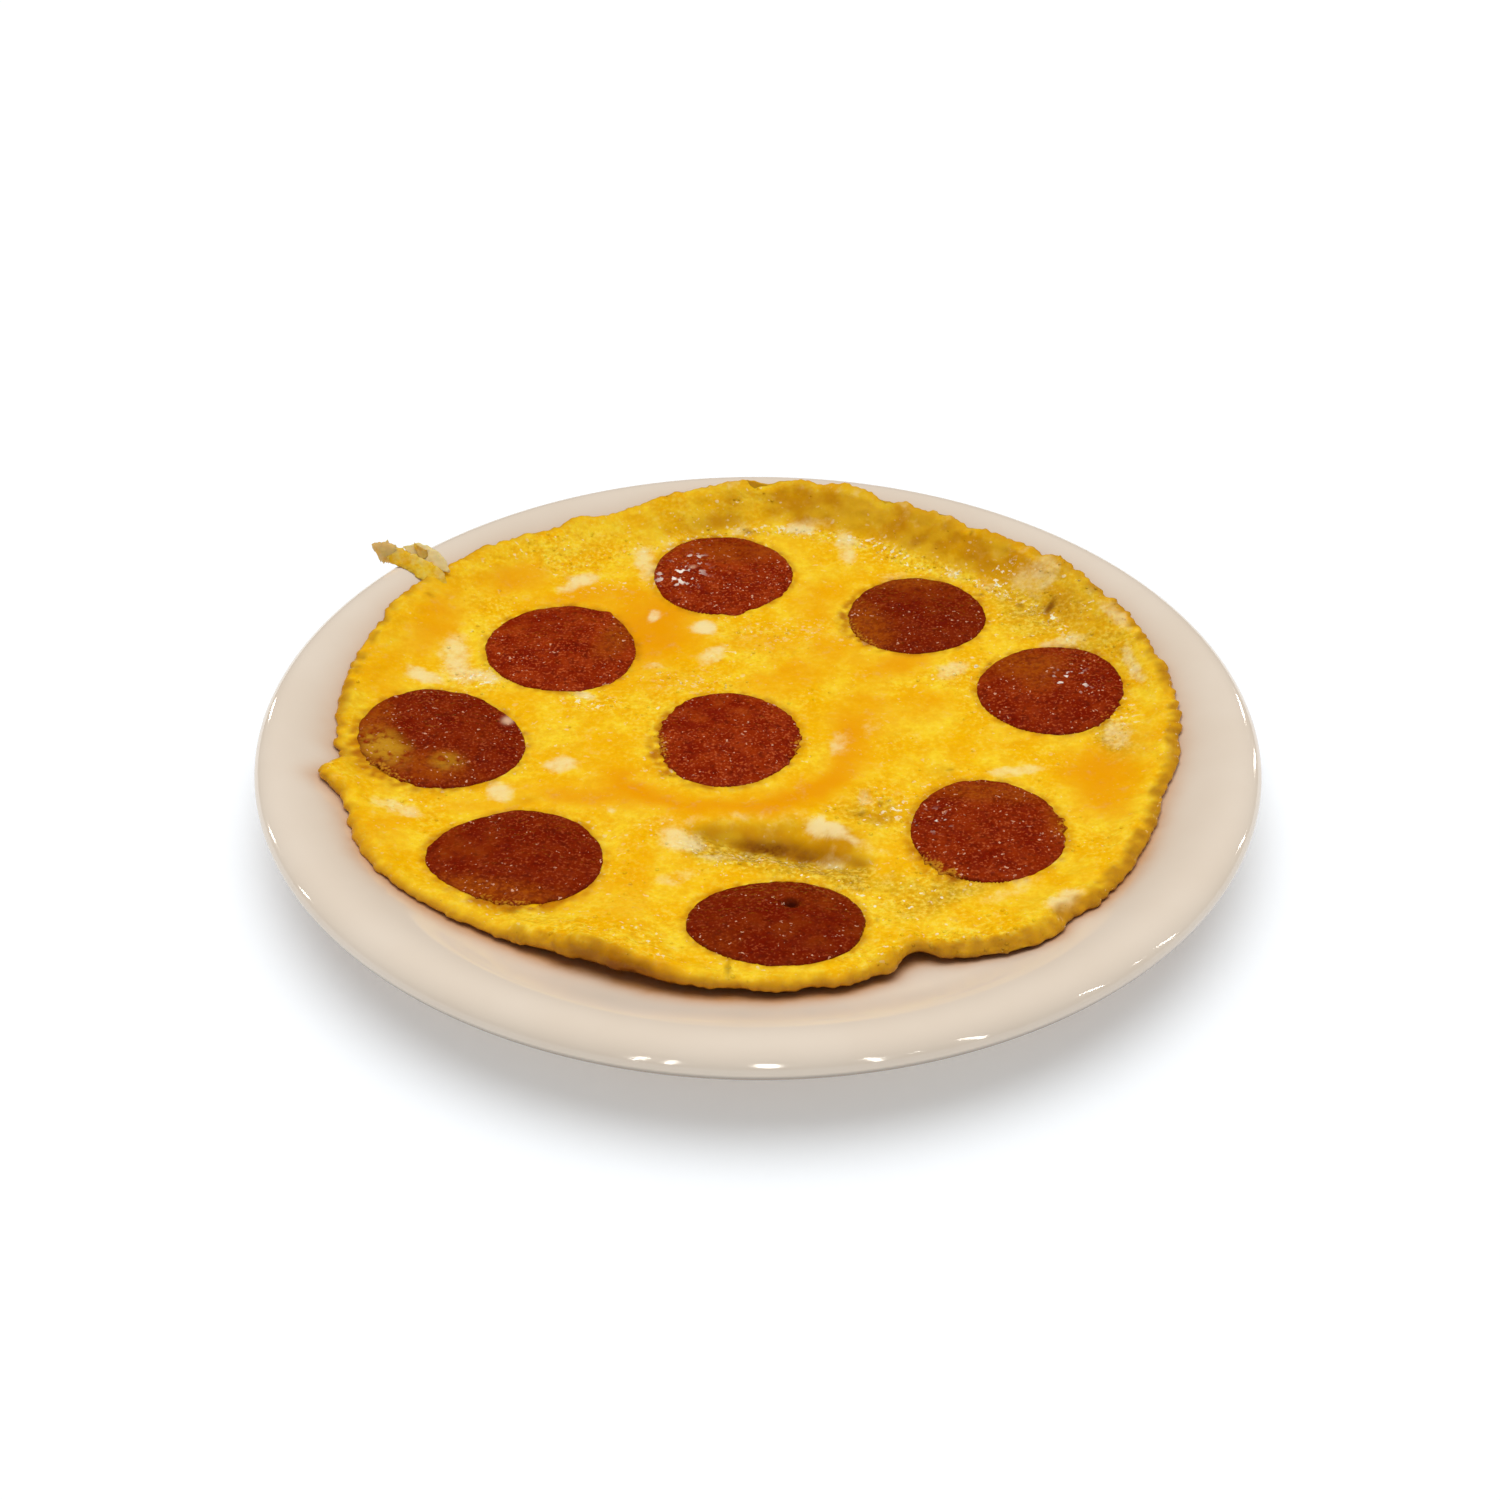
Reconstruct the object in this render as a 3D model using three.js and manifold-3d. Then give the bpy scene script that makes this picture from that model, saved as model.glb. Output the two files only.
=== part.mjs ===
import * as THREE from 'three';
import { mergeVertices } from 'three/addons/utils/BufferGeometryUtils.js';
import Module from 'manifold-3d';

// A round open-faced omelette with nine slices of sausage set into it, on its dinner plate.
// Millimetres, +Z up. The origin is the plate's centre, on the level its foot ring stands on.
// Angles are in degrees about +Z, from +X. The omelette's turned-up edge is towards +Y.

const wasm = await Module();
wasm.setup();

// Plate
const plateRadius = 130;
const plateHeight = 23;
const plateWall = 4.5;
const plateSegments = 64;
const wellFloor = 7;             // upper face of the flat middle
const wellRadius = 66;           // where the flat middle ends
const wellCurve = 0.0051;        // rise of the well's wall, for each mm squared beyond the middle
const rimStart = 113;            // verge between the well's wall and the rim
const rimLevel = 17.9;           // height of the rim there
const rimSlope = 0.27;
const vergeBlend = 1.2;          // how softly the wall turns into the rim
const lipStart = 120;            // where the rim turns up into the lip
const lipRound = 3.6;            // radius of the lip's rounded edge
const footOuter = 74;
const footInner = 69;
const footRecess = 2.5;          // how far the middle's underside is off the table

// Omelette
const eggRadius = 111.3;
const eggCentreY = 7;            // it lies a little towards the back of the plate
const eggSegments = 72;
const eggRest = 7.3;             // underside in the middle, just above the plate
const bowlRise = 10.8;           // how far the underside has risen at bowlRadius
const bowlRadius = 112;
const bowlPower = 4.6;
const middleThickness = 5.4;
const edgeThickness = 3.5;
const taperStart = 0.55;         // share of the radius where the omelette starts to thin
const taperEnd = 0.97;

// The edge's outline: at an angle, how far it stands out (mm) and how wide that is (degrees)
const edgeReach = [
  { at: 268, by: -3, spread: 26 },      // flattened front
  { at: 242, by: -3.5, spread: 12 },
  { at: 251, by: -1.5, spread: 4.5 },   // lifted arch
  { at: 292, by: -7, spread: 10 },
  { at: 290.5, by: -3.5, spread: 3 },   // crease in the front roll
  { at: 303, by: 2, spread: 7 },
  { at: 310.5, by: -2.5, spread: 2.2 },
  { at: 338, by: -3, spread: 13 },
  { at: 56, by: -4, spread: 16 },
  { at: 112, by: -4, spread: 9 },
  { at: 125, by: -2.5, spread: 6 },
  { at: 157, by: 2, spread: 12 },
  { at: 194, by: -4, spread: 2.5 },     // nick on the left, with a point below it
  { at: 197, by: 5, spread: 3.5 },
  { at: 216, by: 2, spread: 9 },
];

// Where the edge lifts off the plate: the height gained between the share `from` and the edge
const edgeLift = [
  { at: 66, by: 4.5, spread: 44, from: 0.82 },    // turned-up back
  { at: 250, by: 2, spread: 9, from: 0.8 },       // arch
  { at: 290, by: 1.2, spread: 4, from: 0.85 },
  { at: 198, by: 1.5, spread: 5, from: 0.9 },
  { at: 268, by: 0.8, spread: 20, from: 0.85 },
];

// Where the edge is thicker or thinner than edgeThickness
const edgeBody = [
  { at: 268, by: 1.4, spread: 40 },     // front roll
  { at: 250, by: 2.4, spread: 9 },      // arch
  { at: 80, by: -1, spread: 45 },       // thin turned-up back
];

// A pocket sunk into the omelette's top near the front slice, with a raised fold behind it
const pocket = { x: 6, y: -47.8, halfWidth: 21, halfLength: 8.5, depth: 3.4 };
const fold = { x: 6, y: -37.4, halfWidth: 22, halfLength: 4.5, rise: 1 };

// A thin shred of egg that trails from the back left edge over the plate's lip
const shredRoot = new THREE.Vector3(-91, 62, 21);
const shredTip = new THREE.Vector3(-112.5, 75, 26.4);
const spikeRoot = new THREE.Vector3(-100, 68.5, 24.6);
const spikeTip = new THREE.Vector3(-102.5, 75.5, 28.6);

// Sausage slices
const sliceDepth = 2.6;          // how deep a slice sits below the omelette's face
const sliceCrown = 0.8;          // how far its middle stands above that face
const sliceSegments = 24;
const gap = 0.35;                // clearance between a slice and its seat
const seatHeight = 5;            // how far up a seat is cut, clear of the omelette's face
const slices = [
  { x: -10.8, y: 79, width: 42.4, length: 40.6 },
  { x: 46.1, y: 57, width: 40.6, length: 39.2 },
  { x: -55.6, y: 39.4, width: 43.1, length: 42.9 },
  { x: 80.3, y: 18, width: 40.2, length: 41.2 },
  { x: -83.4, y: -5.9, width: 45.8, length: 42.6, turn: -38 },
  { x: -7.8, y: -2.6, width: 38.3, length: 43.1 },
  { x: 56.8, y: -42.4, width: 38.8, length: 42.2 },
  { x: -57.3, y: -54.1, width: 41.2, length: 38.6, drawnOut: 0.11 },
  { x: 4.7, y: -78, width: 41.9, length: 34 },
];

// Finishes
const glaze = { color: '#dccdb8', roughness: 0.12, metalness: 0 };
const egg = { color: '#f2bd2c', roughness: 0.4, metalness: 0 };
const sausage = { color: '#86260b', roughness: 0.35, metalness: 0 };

const clamp01 = (value) => Math.min(1, Math.max(0, value));

const smooth = (value) => clamp01(value) ** 2 * (3 - 2 * clamp01(value));

// A rounded hump around one angle
function hump(angle, at, spread) {
  const away = ((angle - at + 540) % 360) - 180;
  return Math.exp(-((away / spread) ** 2));
}

const sumOfHumps = (list, angle) =>
  list.reduce((sum, item) => sum + item.by * hump(angle, item.at, item.spread), 0);

// ---- surfaces that the pieces share

// Upper face of the plate, inside its lip
function plateTop(radius) {
  const wall = wellFloor + wellCurve * Math.max(0, radius - wellRadius) ** 2;
  const rim = rimLevel + rimSlope * (radius - rimStart);
  const share = clamp01(0.5 + (0.5 * (rim - wall)) / vergeBlend);
  return rim * (1 - share) + wall * share - vergeBlend * share * (1 - share);
}

const eggEdge = (angle) => eggRadius + sumOfHumps(edgeReach, angle);

// Angle about the omelette's centre, and the share of the way to its edge
function onEgg(x, y) {
  const angle = (THREE.MathUtils.radToDeg(Math.atan2(y - eggCentreY, x)) + 360) % 360;
  return { angle, share: Math.hypot(x, y - eggCentreY) / eggEdge(angle) };
}

// Underside: a shallow bowl that bridges the plate's wall, with the lifts along its edge
function eggUnder(x, y) {
  const { angle, share } = onEgg(x, y);
  const bowl = eggRest + bowlRise * (Math.hypot(x, y) / bowlRadius) ** bowlPower;
  const liftAt = (item) => clamp01((share - item.from) / (1 - item.from)) ** 1.4;
  return edgeLift.reduce(
    (level, item) => level + item.by * hump(angle, item.at, item.spread) * liftAt(item),
    bowl,
  );
}

function eggThickness(x, y) {
  const { angle, share } = onEgg(x, y);
  const edge = edgeThickness + sumOfHumps(edgeBody, angle);
  const taper = smooth((share - taperStart) / (taperEnd - taperStart));
  return THREE.MathUtils.lerp(middleThickness, edge, taper);
}

const eggTop = (x, y) => eggUnder(x, y) + eggThickness(x, y);

// A soft-edged oval patch: 1 in its middle, 0 outside
function ovalPatch(x, y, oval, power) {
  const squared = ((x - oval.x) / oval.halfWidth) ** 2 + ((y - oval.y) / oval.halfLength) ** 2;
  return Math.exp(-(squared ** power));
}

const faceRelief = (x, y) =>
  fold.rise * ovalPatch(x, y, fold, 1) - pocket.depth * ovalPatch(x, y, pocket, 1.5);

// ---- from three.js geometry to a solid and back

// Position only, shared vertices merged, and the empty triangles at the poles dropped
function weld(geometry) {
  geometry.deleteAttribute('normal');
  geometry.deleteAttribute('uv');
  const merged = mergeVertices(geometry);
  const kept = [];
  for (let i = 0; i < merged.index.count; i += 3) {
    const corners = [0, 1, 2].map((k) => merged.index.getX(i + k));
    if (new Set(corners).size === 3) kept.push(...corners);
  }
  merged.setIndex(kept);
  return merged;
}

function toSolid(geometry) {
  const merged = weld(geometry);
  return new wasm.Manifold(
    new wasm.Mesh({
      numProp: 3,
      vertProperties: new Float32Array(merged.attributes.position.array),
      triVerts: new Uint32Array(merged.index.array),
    }),
  );
}

function toGeometry(solid) {
  const { vertProperties, triVerts } = solid.getMesh();
  const geometry = new THREE.BufferGeometry();
  geometry.setAttribute('position', new THREE.BufferAttribute(vertProperties, 3));
  geometry.setIndex(new THREE.BufferAttribute(triVerts, 1));
  return geometry;
}

// A solid of revolution about +Z from [radius, height] points, listed from the bottom up
function turned(points, segments) {
  const profile = points.map(([radius, height]) => new THREE.Vector2(radius, height));
  return new THREE.LatheGeometry(profile, segments).rotateX(Math.PI / 2);
}

// Moves every vertex of a geometry to where `place` puts it
function reshape(geometry, place) {
  const position = geometry.attributes.position;
  const vertex = new THREE.Vector3();
  for (let i = 0; i < position.count; i += 1) {
    place(vertex.fromBufferAttribute(position, i));
    position.setXYZ(i, vertex.x, vertex.y, vertex.z);
  }
  return geometry;
}

// ---- plate

function arcPoints(centreR, centreZ, radius, fromAngle, toAngle, count) {
  return Array.from({ length: count }, (_, i) => {
    const angle = THREE.MathUtils.degToRad(THREE.MathUtils.lerp(fromAngle, toAngle, i / (count - 1)));
    return [centreR + radius * Math.cos(angle), centreZ + radius * Math.sin(angle)];
  });
}

function plateGeometry() {
  const undersideAt = (radius) => [radius, plateTop(radius) - plateWall];
  const faceAt = (radius) => [radius, plateTop(radius)];
  const lipCentreR = plateRadius - lipRound;
  const lipCentreZ = plateHeight - lipRound;
  const profile = [
    [0, footRecess],
    [footInner - 1, footRecess],
    [footInner, 0],
    [footOuter, 0],
    [footOuter + 1.5, 2],
    ...[88, 104, lipStart].map(undersideAt),
    ...arcPoints(lipCentreR, lipCentreZ, lipRound, -60, 150, 8),
    ...[lipStart, 116, 111, 101, 90, 78].map(faceAt),
    [wellRadius, wellFloor],
    [0, wellFloor],
  ];
  return weld(turned(profile, plateSegments));
}

// ---- omelette

// One thin shred: a flattened, slightly ragged finger from root to tip that arches a little
function shred(root, tip, halfWidth, halfThickness) {
  const along = new THREE.Vector3().subVectors(tip, root);
  const across = new THREE.Vector3(-along.y, along.x, 0).normalize();
  const arch = 0.05 * along.length();
  return reshape(new THREE.SphereGeometry(1, 10, 9), (vertex) => {
    const { x, y, z } = vertex;
    const travel = (y + 1) / 2;
    const ragged = 1 + 0.16 * Math.sin(11 * travel) - 0.25 * travel;
    vertex.copy(root).addScaledVector(along, travel).addScaledVector(across, -x * halfWidth * ragged);
    vertex.z += z * halfThickness + arch * Math.sin(Math.PI * travel);
  });
}

function eggSheet() {
  // [share of the way to the edge, share of the thickness], from the bottom up
  const profile = [
    [0, 0], [0.5, 0], [0.7, 0], [0.82, 0], [0.91, 0], [0.975, 0.02],
    [0.995, 0.25], [1, 0.6], [0.988, 0.9], [0.965, 1],
    [0.92, 1], [0.86, 1], [0.79, 1], [0.71, 1], [0.63, 1], [0.56, 1], [0.5, 1],
    [0.44, 1], [0.38, 1], [0.28, 1], [0, 1],
  ];
  return reshape(turned(profile, eggSegments), (vertex) => {
    const share = Math.hypot(vertex.x, vertex.y);
    const angle = (THREE.MathUtils.radToDeg(Math.atan2(vertex.y, vertex.x)) + 360) % 360;
    const reach = share === 0 ? 0 : eggEdge(angle);
    const level = vertex.z;
    vertex.x *= reach;
    vertex.y = vertex.y * reach + eggCentreY;
    const relief = level > 0.5 ? faceRelief(vertex.x, vertex.y) : 0;
    vertex.z = eggUnder(vertex.x, vertex.y) + level * eggThickness(vertex.x, vertex.y) + relief;
  });
}

function omeletteGeometry(seats) {
  let solid = toSolid(eggSheet())
    .add(toSolid(shred(shredRoot, shredTip, 3, 1)))
    .add(toSolid(shred(spikeRoot, spikeTip, 1.3, 0.8)));
  for (const seat of seats) solid = solid.subtract(toSolid(seat));
  return toGeometry(solid);
}

// ---- sausage slices

// A disc with a slice's outline, grown by `grow`, from a profile whose radii run from 0 to 1
function sliceBlank({ width, length, drawnOut = 0 }, index, grow, profile) {
  return reshape(turned(profile, sliceSegments), (vertex) => {
    const angle = THREE.MathUtils.radToDeg(Math.atan2(vertex.y, vertex.x)) + 360;
    const lobes = 1 + 0.018 * Math.cos(THREE.MathUtils.degToRad(3 * angle + 70 * index));
    const outline = lobes + drawnOut * hump(angle % 360, 180, 30);
    vertex.x *= outline * (width / 2 + grow);
    vertex.y *= outline * (length / 2 + grow);
  });
}

// The slice itself: a flat underside with an eased edge, and a slightly crowned face
function sliceGeometry(slice, index) {
  const profile = [
    [0, -sliceDepth], [0.94, -sliceDepth], [1, 0.7 - sliceDepth],
    [1, -0.3], [0.955, 0.25], [0.6, 0.8 * sliceCrown], [0, sliceCrown],
  ];
  return weld(sliceBlank(slice, index, 0, profile));
}

// What the slice's seat takes out of the omelette, from just under the slice to above the egg
function seatGeometry(slice, index) {
  const bottom = -sliceDepth - gap;
  return sliceBlank(slice, index, gap, [[0, bottom], [1, bottom], [1, seatHeight], [0, seatHeight]]);
}

// Lays a slice flat on the omelette's face: its height and tilt come from the face around it
function laySlice(object, { x, y, width, turn = 0 }) {
  const reach = 0.35 * width;
  const east = eggTop(x + reach, y);
  const west = eggTop(x - reach, y);
  const north = eggTop(x, y + reach);
  const south = eggTop(x, y - reach);
  const normal = new THREE.Vector3(west - east, south - north, 2 * reach).normalize();
  object.position.set(x, y, (east + west + north + south) / 4);
  object.quaternion.setFromUnitVectors(new THREE.Vector3(0, 0, 1), normal);
  object.rotateZ(THREE.MathUtils.degToRad(turn));
  object.updateMatrix();
}

// ---- the whole

const named = (name, geometry, finish) => {
  const mesh = new THREE.Mesh(geometry, new THREE.MeshStandardMaterial(finish));
  mesh.name = name;
  return mesh;
};

const group = new THREE.Group();
const seats = [];

slices.forEach((slice, index) => {
  const mesh = named(`sausage_slice_${index + 1}`, sliceGeometry(slice, index), sausage);
  laySlice(mesh, slice);
  seats.push(seatGeometry(slice, index).applyMatrix4(mesh.matrix));
  group.add(mesh);
});

group.add(named('plate', plateGeometry(), glaze));
group.add(named('omelette', omeletteGeometry(seats), egg));

export default group;
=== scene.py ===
import itertools
import math
import bpy
import numpy as np
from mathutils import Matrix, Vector


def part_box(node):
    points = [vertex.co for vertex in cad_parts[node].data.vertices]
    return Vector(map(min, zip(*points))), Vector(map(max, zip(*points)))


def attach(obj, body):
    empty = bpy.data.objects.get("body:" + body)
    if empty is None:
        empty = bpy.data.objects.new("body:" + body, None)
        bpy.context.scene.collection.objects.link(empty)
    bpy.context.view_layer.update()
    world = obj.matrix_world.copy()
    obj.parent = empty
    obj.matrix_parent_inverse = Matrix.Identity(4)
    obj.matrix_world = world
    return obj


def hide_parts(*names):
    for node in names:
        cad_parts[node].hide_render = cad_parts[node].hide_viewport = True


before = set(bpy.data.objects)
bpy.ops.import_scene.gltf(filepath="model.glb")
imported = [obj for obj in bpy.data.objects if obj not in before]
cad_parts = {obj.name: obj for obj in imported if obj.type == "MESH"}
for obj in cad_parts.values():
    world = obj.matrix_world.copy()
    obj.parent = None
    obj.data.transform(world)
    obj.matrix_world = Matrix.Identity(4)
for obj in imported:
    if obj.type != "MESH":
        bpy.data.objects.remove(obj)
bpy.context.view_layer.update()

# An open-faced omelette with nine sausage slices, on its dinner plate.
# Shapes are worked out in millimetres, in the frame's own axes, and turned into metres last.
# Angles are in degrees about +Z, from +X. The turned-up edge is towards +Y.

mm = 0.001
scene = bpy.context.scene
glazed = bpy.data.collections.new("glazed")   # what the lamps for the lip's glints light


# Numbers that spread softly over a surface

def clamp01(value):
    return np.clip(value, 0, 1)


def ease(value):
    value = clamp01(value)
    return value * value * (3 - 2 * value)


def mixed(first, second, share):
    return first * (1 - share) + second * share


def hump(angle, at, spread):  # a rounded hump round one angle
    away = ((angle - at + 540) % 360) - 180
    return np.exp(-((away / spread) ** 2))


def sumOfHumps(items, angle):
    total = np.zeros(np.shape(angle))
    for item in items:
        total = total + item[1] * hump(angle, item[0], item[2])
    return total


def scatter(cells, seed):  # a steady random number from 0 to 1 for each whole-numbered cell
    mixedUp = np.full(len(cells), seed * 2654435761 % 4294967296, dtype=np.uint64)
    for column in range(cells.shape[1]):
        mixedUp = mixedUp ^ (cells[:, column].astype(np.int64) & 0xFFFFFFFF).astype(np.uint64)
        mixedUp = (mixedUp * np.uint64(2246822519)) & np.uint64(0xFFFFFFFF)
        mixedUp = mixedUp ^ (mixedUp >> np.uint64(15))
        mixedUp = (mixedUp * np.uint64(3266489917)) & np.uint64(0xFFFFFFFF)
        mixedUp = mixedUp ^ (mixedUp >> np.uint64(13))
    return mixedUp.astype(float) / 4294967296


def wander(points, size, seed):  # soft lumps about -1 to 1, about `size` mm apart
    places = np.asarray(points, float) / size
    cell = np.floor(places).astype(np.int64)
    inside = places - cell
    fade = inside ** 3 * (inside * (inside * 6 - 15) + 10)
    total = np.zeros(len(places))
    for corner in itertools.product((0, 1), repeat=places.shape[1]):
        corner = np.array(corner)
        slope = np.stack([scatter(cell + corner, seed + 31 * k) for k in range(places.shape[1])], 1) * 2 - 1
        share = np.prod(np.where(corner == 1, fade, 1 - fade), axis=1)
        total += share * (slope * (inside - corner)).sum(1)
    return total * 1.5


def drift(points, size, seed):  # two wandering numbers for each point, as a small move
    return np.stack([wander(points, size, seed), wander(points, size, seed + 1)], 1)


def ringAt(angle, radius):  # the place on a level ring at each angle in degrees
    return np.stack([np.cos(np.radians(angle)), np.sin(np.radians(angle))], 1) * radius


def beads(points, size, seed):  # distance to the nearest scattered bead, in spacings, and its own number
    places = np.asarray(points, float)[:, :2] / size
    cell = np.floor(places).astype(np.int64)
    nearest = np.full(len(places), 9.0)
    own = np.zeros(len(places))
    for shift in itertools.product((-1, 0, 1), repeat=2):
        other = cell + np.array(shift)
        bead = other + np.stack([scatter(other, seed), scatter(other, seed + 7)], 1)
        away = np.hypot(*(places - bead).T)
        closer = away < nearest
        nearest = np.where(closer, away, nearest)
        own = np.where(closer, scatter(other, seed + 13), own)
    return nearest, own


def patch(points, place, soft=1.6):  # one soft oval: x, y, half width, half length, turn, strength
    x, y, halfWidth, halfLength, turn, strength = place
    c, s = math.cos(math.radians(turn)), math.sin(math.radians(turn))
    dx, dy = points[:, 0] - x, points[:, 1] - y
    squared = ((dx * c + dy * s) / halfWidth) ** 2 + ((dy * c - dx * s) / halfLength) ** 2
    return strength * np.exp(-(squared ** soft))


def patches(points, places, soft=1.6):  # several soft ovals together, never above 1
    bare = np.ones(len(points))
    for place in places:
        bare *= 1 - clamp01(patch(points, place, soft))
    return 1 - bare


# Meshes

def discGrid(count):  # a square grid pressed into a round one: points, quads and the rim's vertices in order
    line = np.linspace(-1, 1, count + 1)
    u, v = [a.ravel() for a in np.meshgrid(line, line)]
    wide = np.abs(u) >= np.abs(v)
    long, short = np.where(wide, u, v), np.where(wide, v, u)
    bend = math.pi / 4 * short / np.where(long == 0, 1, long)
    alongLong, alongShort = long * np.cos(bend), long * np.sin(bend)
    points = np.stack([np.where(wide, alongLong, alongShort), np.where(wide, alongShort, alongLong)], 1)
    row = count + 1
    first = (np.arange(count)[:, None] * row + np.arange(count)[None, :]).ravel()
    quads = np.stack([first, first + 1, first + 1 + row, first + row], 1)
    south = list(range(count))
    east = [i * row + count for i in range(count)]
    north = [count * row + j for j in range(count, 0, -1)]
    west = [i * row for i in range(count, 0, -1)]
    return points, quads, south + east + north + west


# A closed skin: an upper disc that wraps down, joined to a lower one with a quarter of its cells each way

def closedPillow(count, placeUpper, placeLower):
    step = 4
    upper, upperQuads, upperRim = discGrid(count)
    lower, lowerQuads, lowerRim = discGrid(count // step)
    upperPoints = placeUpper(upper)
    lowerPoints = placeLower(lower)
    rename = np.arange(len(lower)) + len(upper)
    for k, vertex in enumerate(lowerRim):
        rename[vertex] = upperRim[k * step]
    points = np.concatenate([upperPoints, lowerPoints])
    faces = [tuple(q) for q in upperQuads.tolist()]
    faces += [tuple(q) for q in rename[lowerQuads][:, ::-1].tolist()]
    rimCount = len(upperRim)
    for k in range(0, rimCount, step):
        faces.append(tuple(upperRim[(k + i) % rimCount] for i in range(step, -1, -1)))
    used = np.zeros(len(points), bool)
    used[:len(upper)] = True
    used[np.unique(rename)] = True
    shift = np.cumsum(used) - 1
    return points[used], [tuple(int(shift[i]) for i in face) for face in faces], len(upper)


def makeMesh(name, points, faces, material, smooth=True):
    mesh = bpy.data.meshes.new(name)
    mesh.from_pydata((np.asarray(points) * mm).tolist(), [], faces)
    mesh.update()
    mesh.polygons.foreach_set("use_smooth", [smooth] * len(mesh.polygons))
    mesh.materials.append(material)
    made = bpy.data.objects.new(name, mesh)
    scene.collection.objects.link(made)
    return made


def addMask(mesh, name, values):  # one number for each vertex, which the material reads
    attribute = mesh.attributes.new(name, "FLOAT", "POINT")
    attribute.data.foreach_set("value", np.asarray(values, np.float32))


def quadNormals(points, quads):  # a unit normal at each vertex of a mesh of quads
    across = points[quads[:, 2]] - points[quads[:, 0]]
    other = points[quads[:, 3]] - points[quads[:, 1]]
    flat = np.cross(across, other)
    normals = np.zeros_like(points)
    for k in range(4):
        np.add.at(normals, quads[:, k], flat)
    return normals / np.maximum(np.linalg.norm(normals, axis=1, keepdims=True), 1e-9)


# Materials

class Wire:  # a node's output that adds maths nodes when it is used in an expression
    def __init__(self, finish, socket):
        self.finish = finish
        self.socket = socket

    def maths(self, operation, first, second):
        return self.finish.node("ShaderNodeMath", {"operation": operation}, {0: first, 1: second})

    def __add__(self, other):
        return self.maths("ADD", self, other)

    def __radd__(self, other):
        return self.maths("ADD", other, self)

    def __sub__(self, other):
        return self.maths("SUBTRACT", self, other)

    def __rsub__(self, other):
        return self.maths("SUBTRACT", other, self)

    def __mul__(self, other):
        return self.maths("MULTIPLY", self, other)

    def __rmul__(self, other):
        return self.maths("MULTIPLY", other, self)


def tone(code):  # a colour as it is seen on a screen, made linear
    parts = [int(code[i:i + 2], 16) / 255 for i in (1, 3, 5)]
    return tuple(p / 12.92 if p <= 0.04045 else ((p + 0.055) / 1.055) ** 2.4 for p in parts) + (1.0,)


class Finish:  # one procedural material round a Principled shader
    def __init__(self, name, fixed):
        self.material = bpy.data.materials.new(name)
        self.material.use_nodes = True
        self.tree = self.material.node_tree
        self.tree.nodes.clear()
        self.shader = self.tree.nodes.new("ShaderNodeBsdfPrincipled")
        output = self.tree.nodes.new("ShaderNodeOutputMaterial")
        self.tree.links.new(self.shader.outputs[0], output.inputs["Surface"])
        for socket, value in fixed.items():
            self.shader.inputs[socket].default_value = value
        self.place = self.node("ShaderNodeTexCoord", output="Object")

    def node(self, kind, settings=None, inputs=None, output=0):
        made = self.tree.nodes.new(kind)
        for key, value in (settings or {}).items():
            if key == "stops":
                self.setStops(made.color_ramp.elements, value)
            else:
                setattr(made, key, value)
        for key, value in (inputs or {}).items():
            self.connect(made.inputs[key], value)
        return Wire(self, made.outputs[output])

    def setStops(self, elements, stops):
        while len(elements) < len(stops):
            elements.new(0.5)
        for element, (position, colour) in zip(elements, stops):
            element.position = position
            element.color = colour

    def connect(self, socket, value):
        if isinstance(value, Wire):
            self.tree.links.new(value.socket, socket)
        else:
            socket.default_value = value

    def mask(self, name):
        return self.node("ShaderNodeAttribute", {"attribute_name": name}, output="Fac")

    def noise(self, size, detail, roughness=0.5):  # size is the lumps' spacing in mm
        settings = {"Vector": self.place, "Scale": 1000 / size, "Detail": detail, "Roughness": roughness}
        return self.node("ShaderNodeTexNoise", {}, settings)

    def cells(self, size):
        inputs = {"Vector": self.place, "Scale": 1000 / size}
        return self.node("ShaderNodeTexVoronoi", {}, inputs, "Distance")

    def flecks(self, size, cluster, rare=0.66):  # small uneven specks, gathered in clusters
        return self.ramp(self.noise(size, 1.5), rare, rare + 0.05) * self.ramp(self.noise(cluster, 2), 0.46, 0.56)

    def ramp(self, value, low, high):  # 0 below low, 1 above high
        inputs = {0: value, 1: low, 2: high, 3: 0.0, 4: 1.0}
        return self.node("ShaderNodeMapRange", {"interpolation_type": "SMOOTHSTEP"}, inputs)

    def blend(self, share, first, second):
        settings = {"data_type": "RGBA", "clamp_factor": True}
        return self.node("ShaderNodeMix", settings, {0: share, 6: first, 7: second}, output=2)

    def coat(self, share, code):  # lays a colour over what is there
        self.colour = self.blend(share, self.colour, tone(code))

    def bump(self, height, distance, strength):
        return self.node("ShaderNodeBump", {}, {"Height": height, "Distance": distance * mm, "Strength": strength})

    def set(self, **links):
        for socket, value in links.items():
            self.connect(self.shader.inputs[socket.replace("_", " ")], value)
        return self.material


# Plate

plateLow, plateHigh = [np.array(corner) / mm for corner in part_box("plate")]

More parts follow.
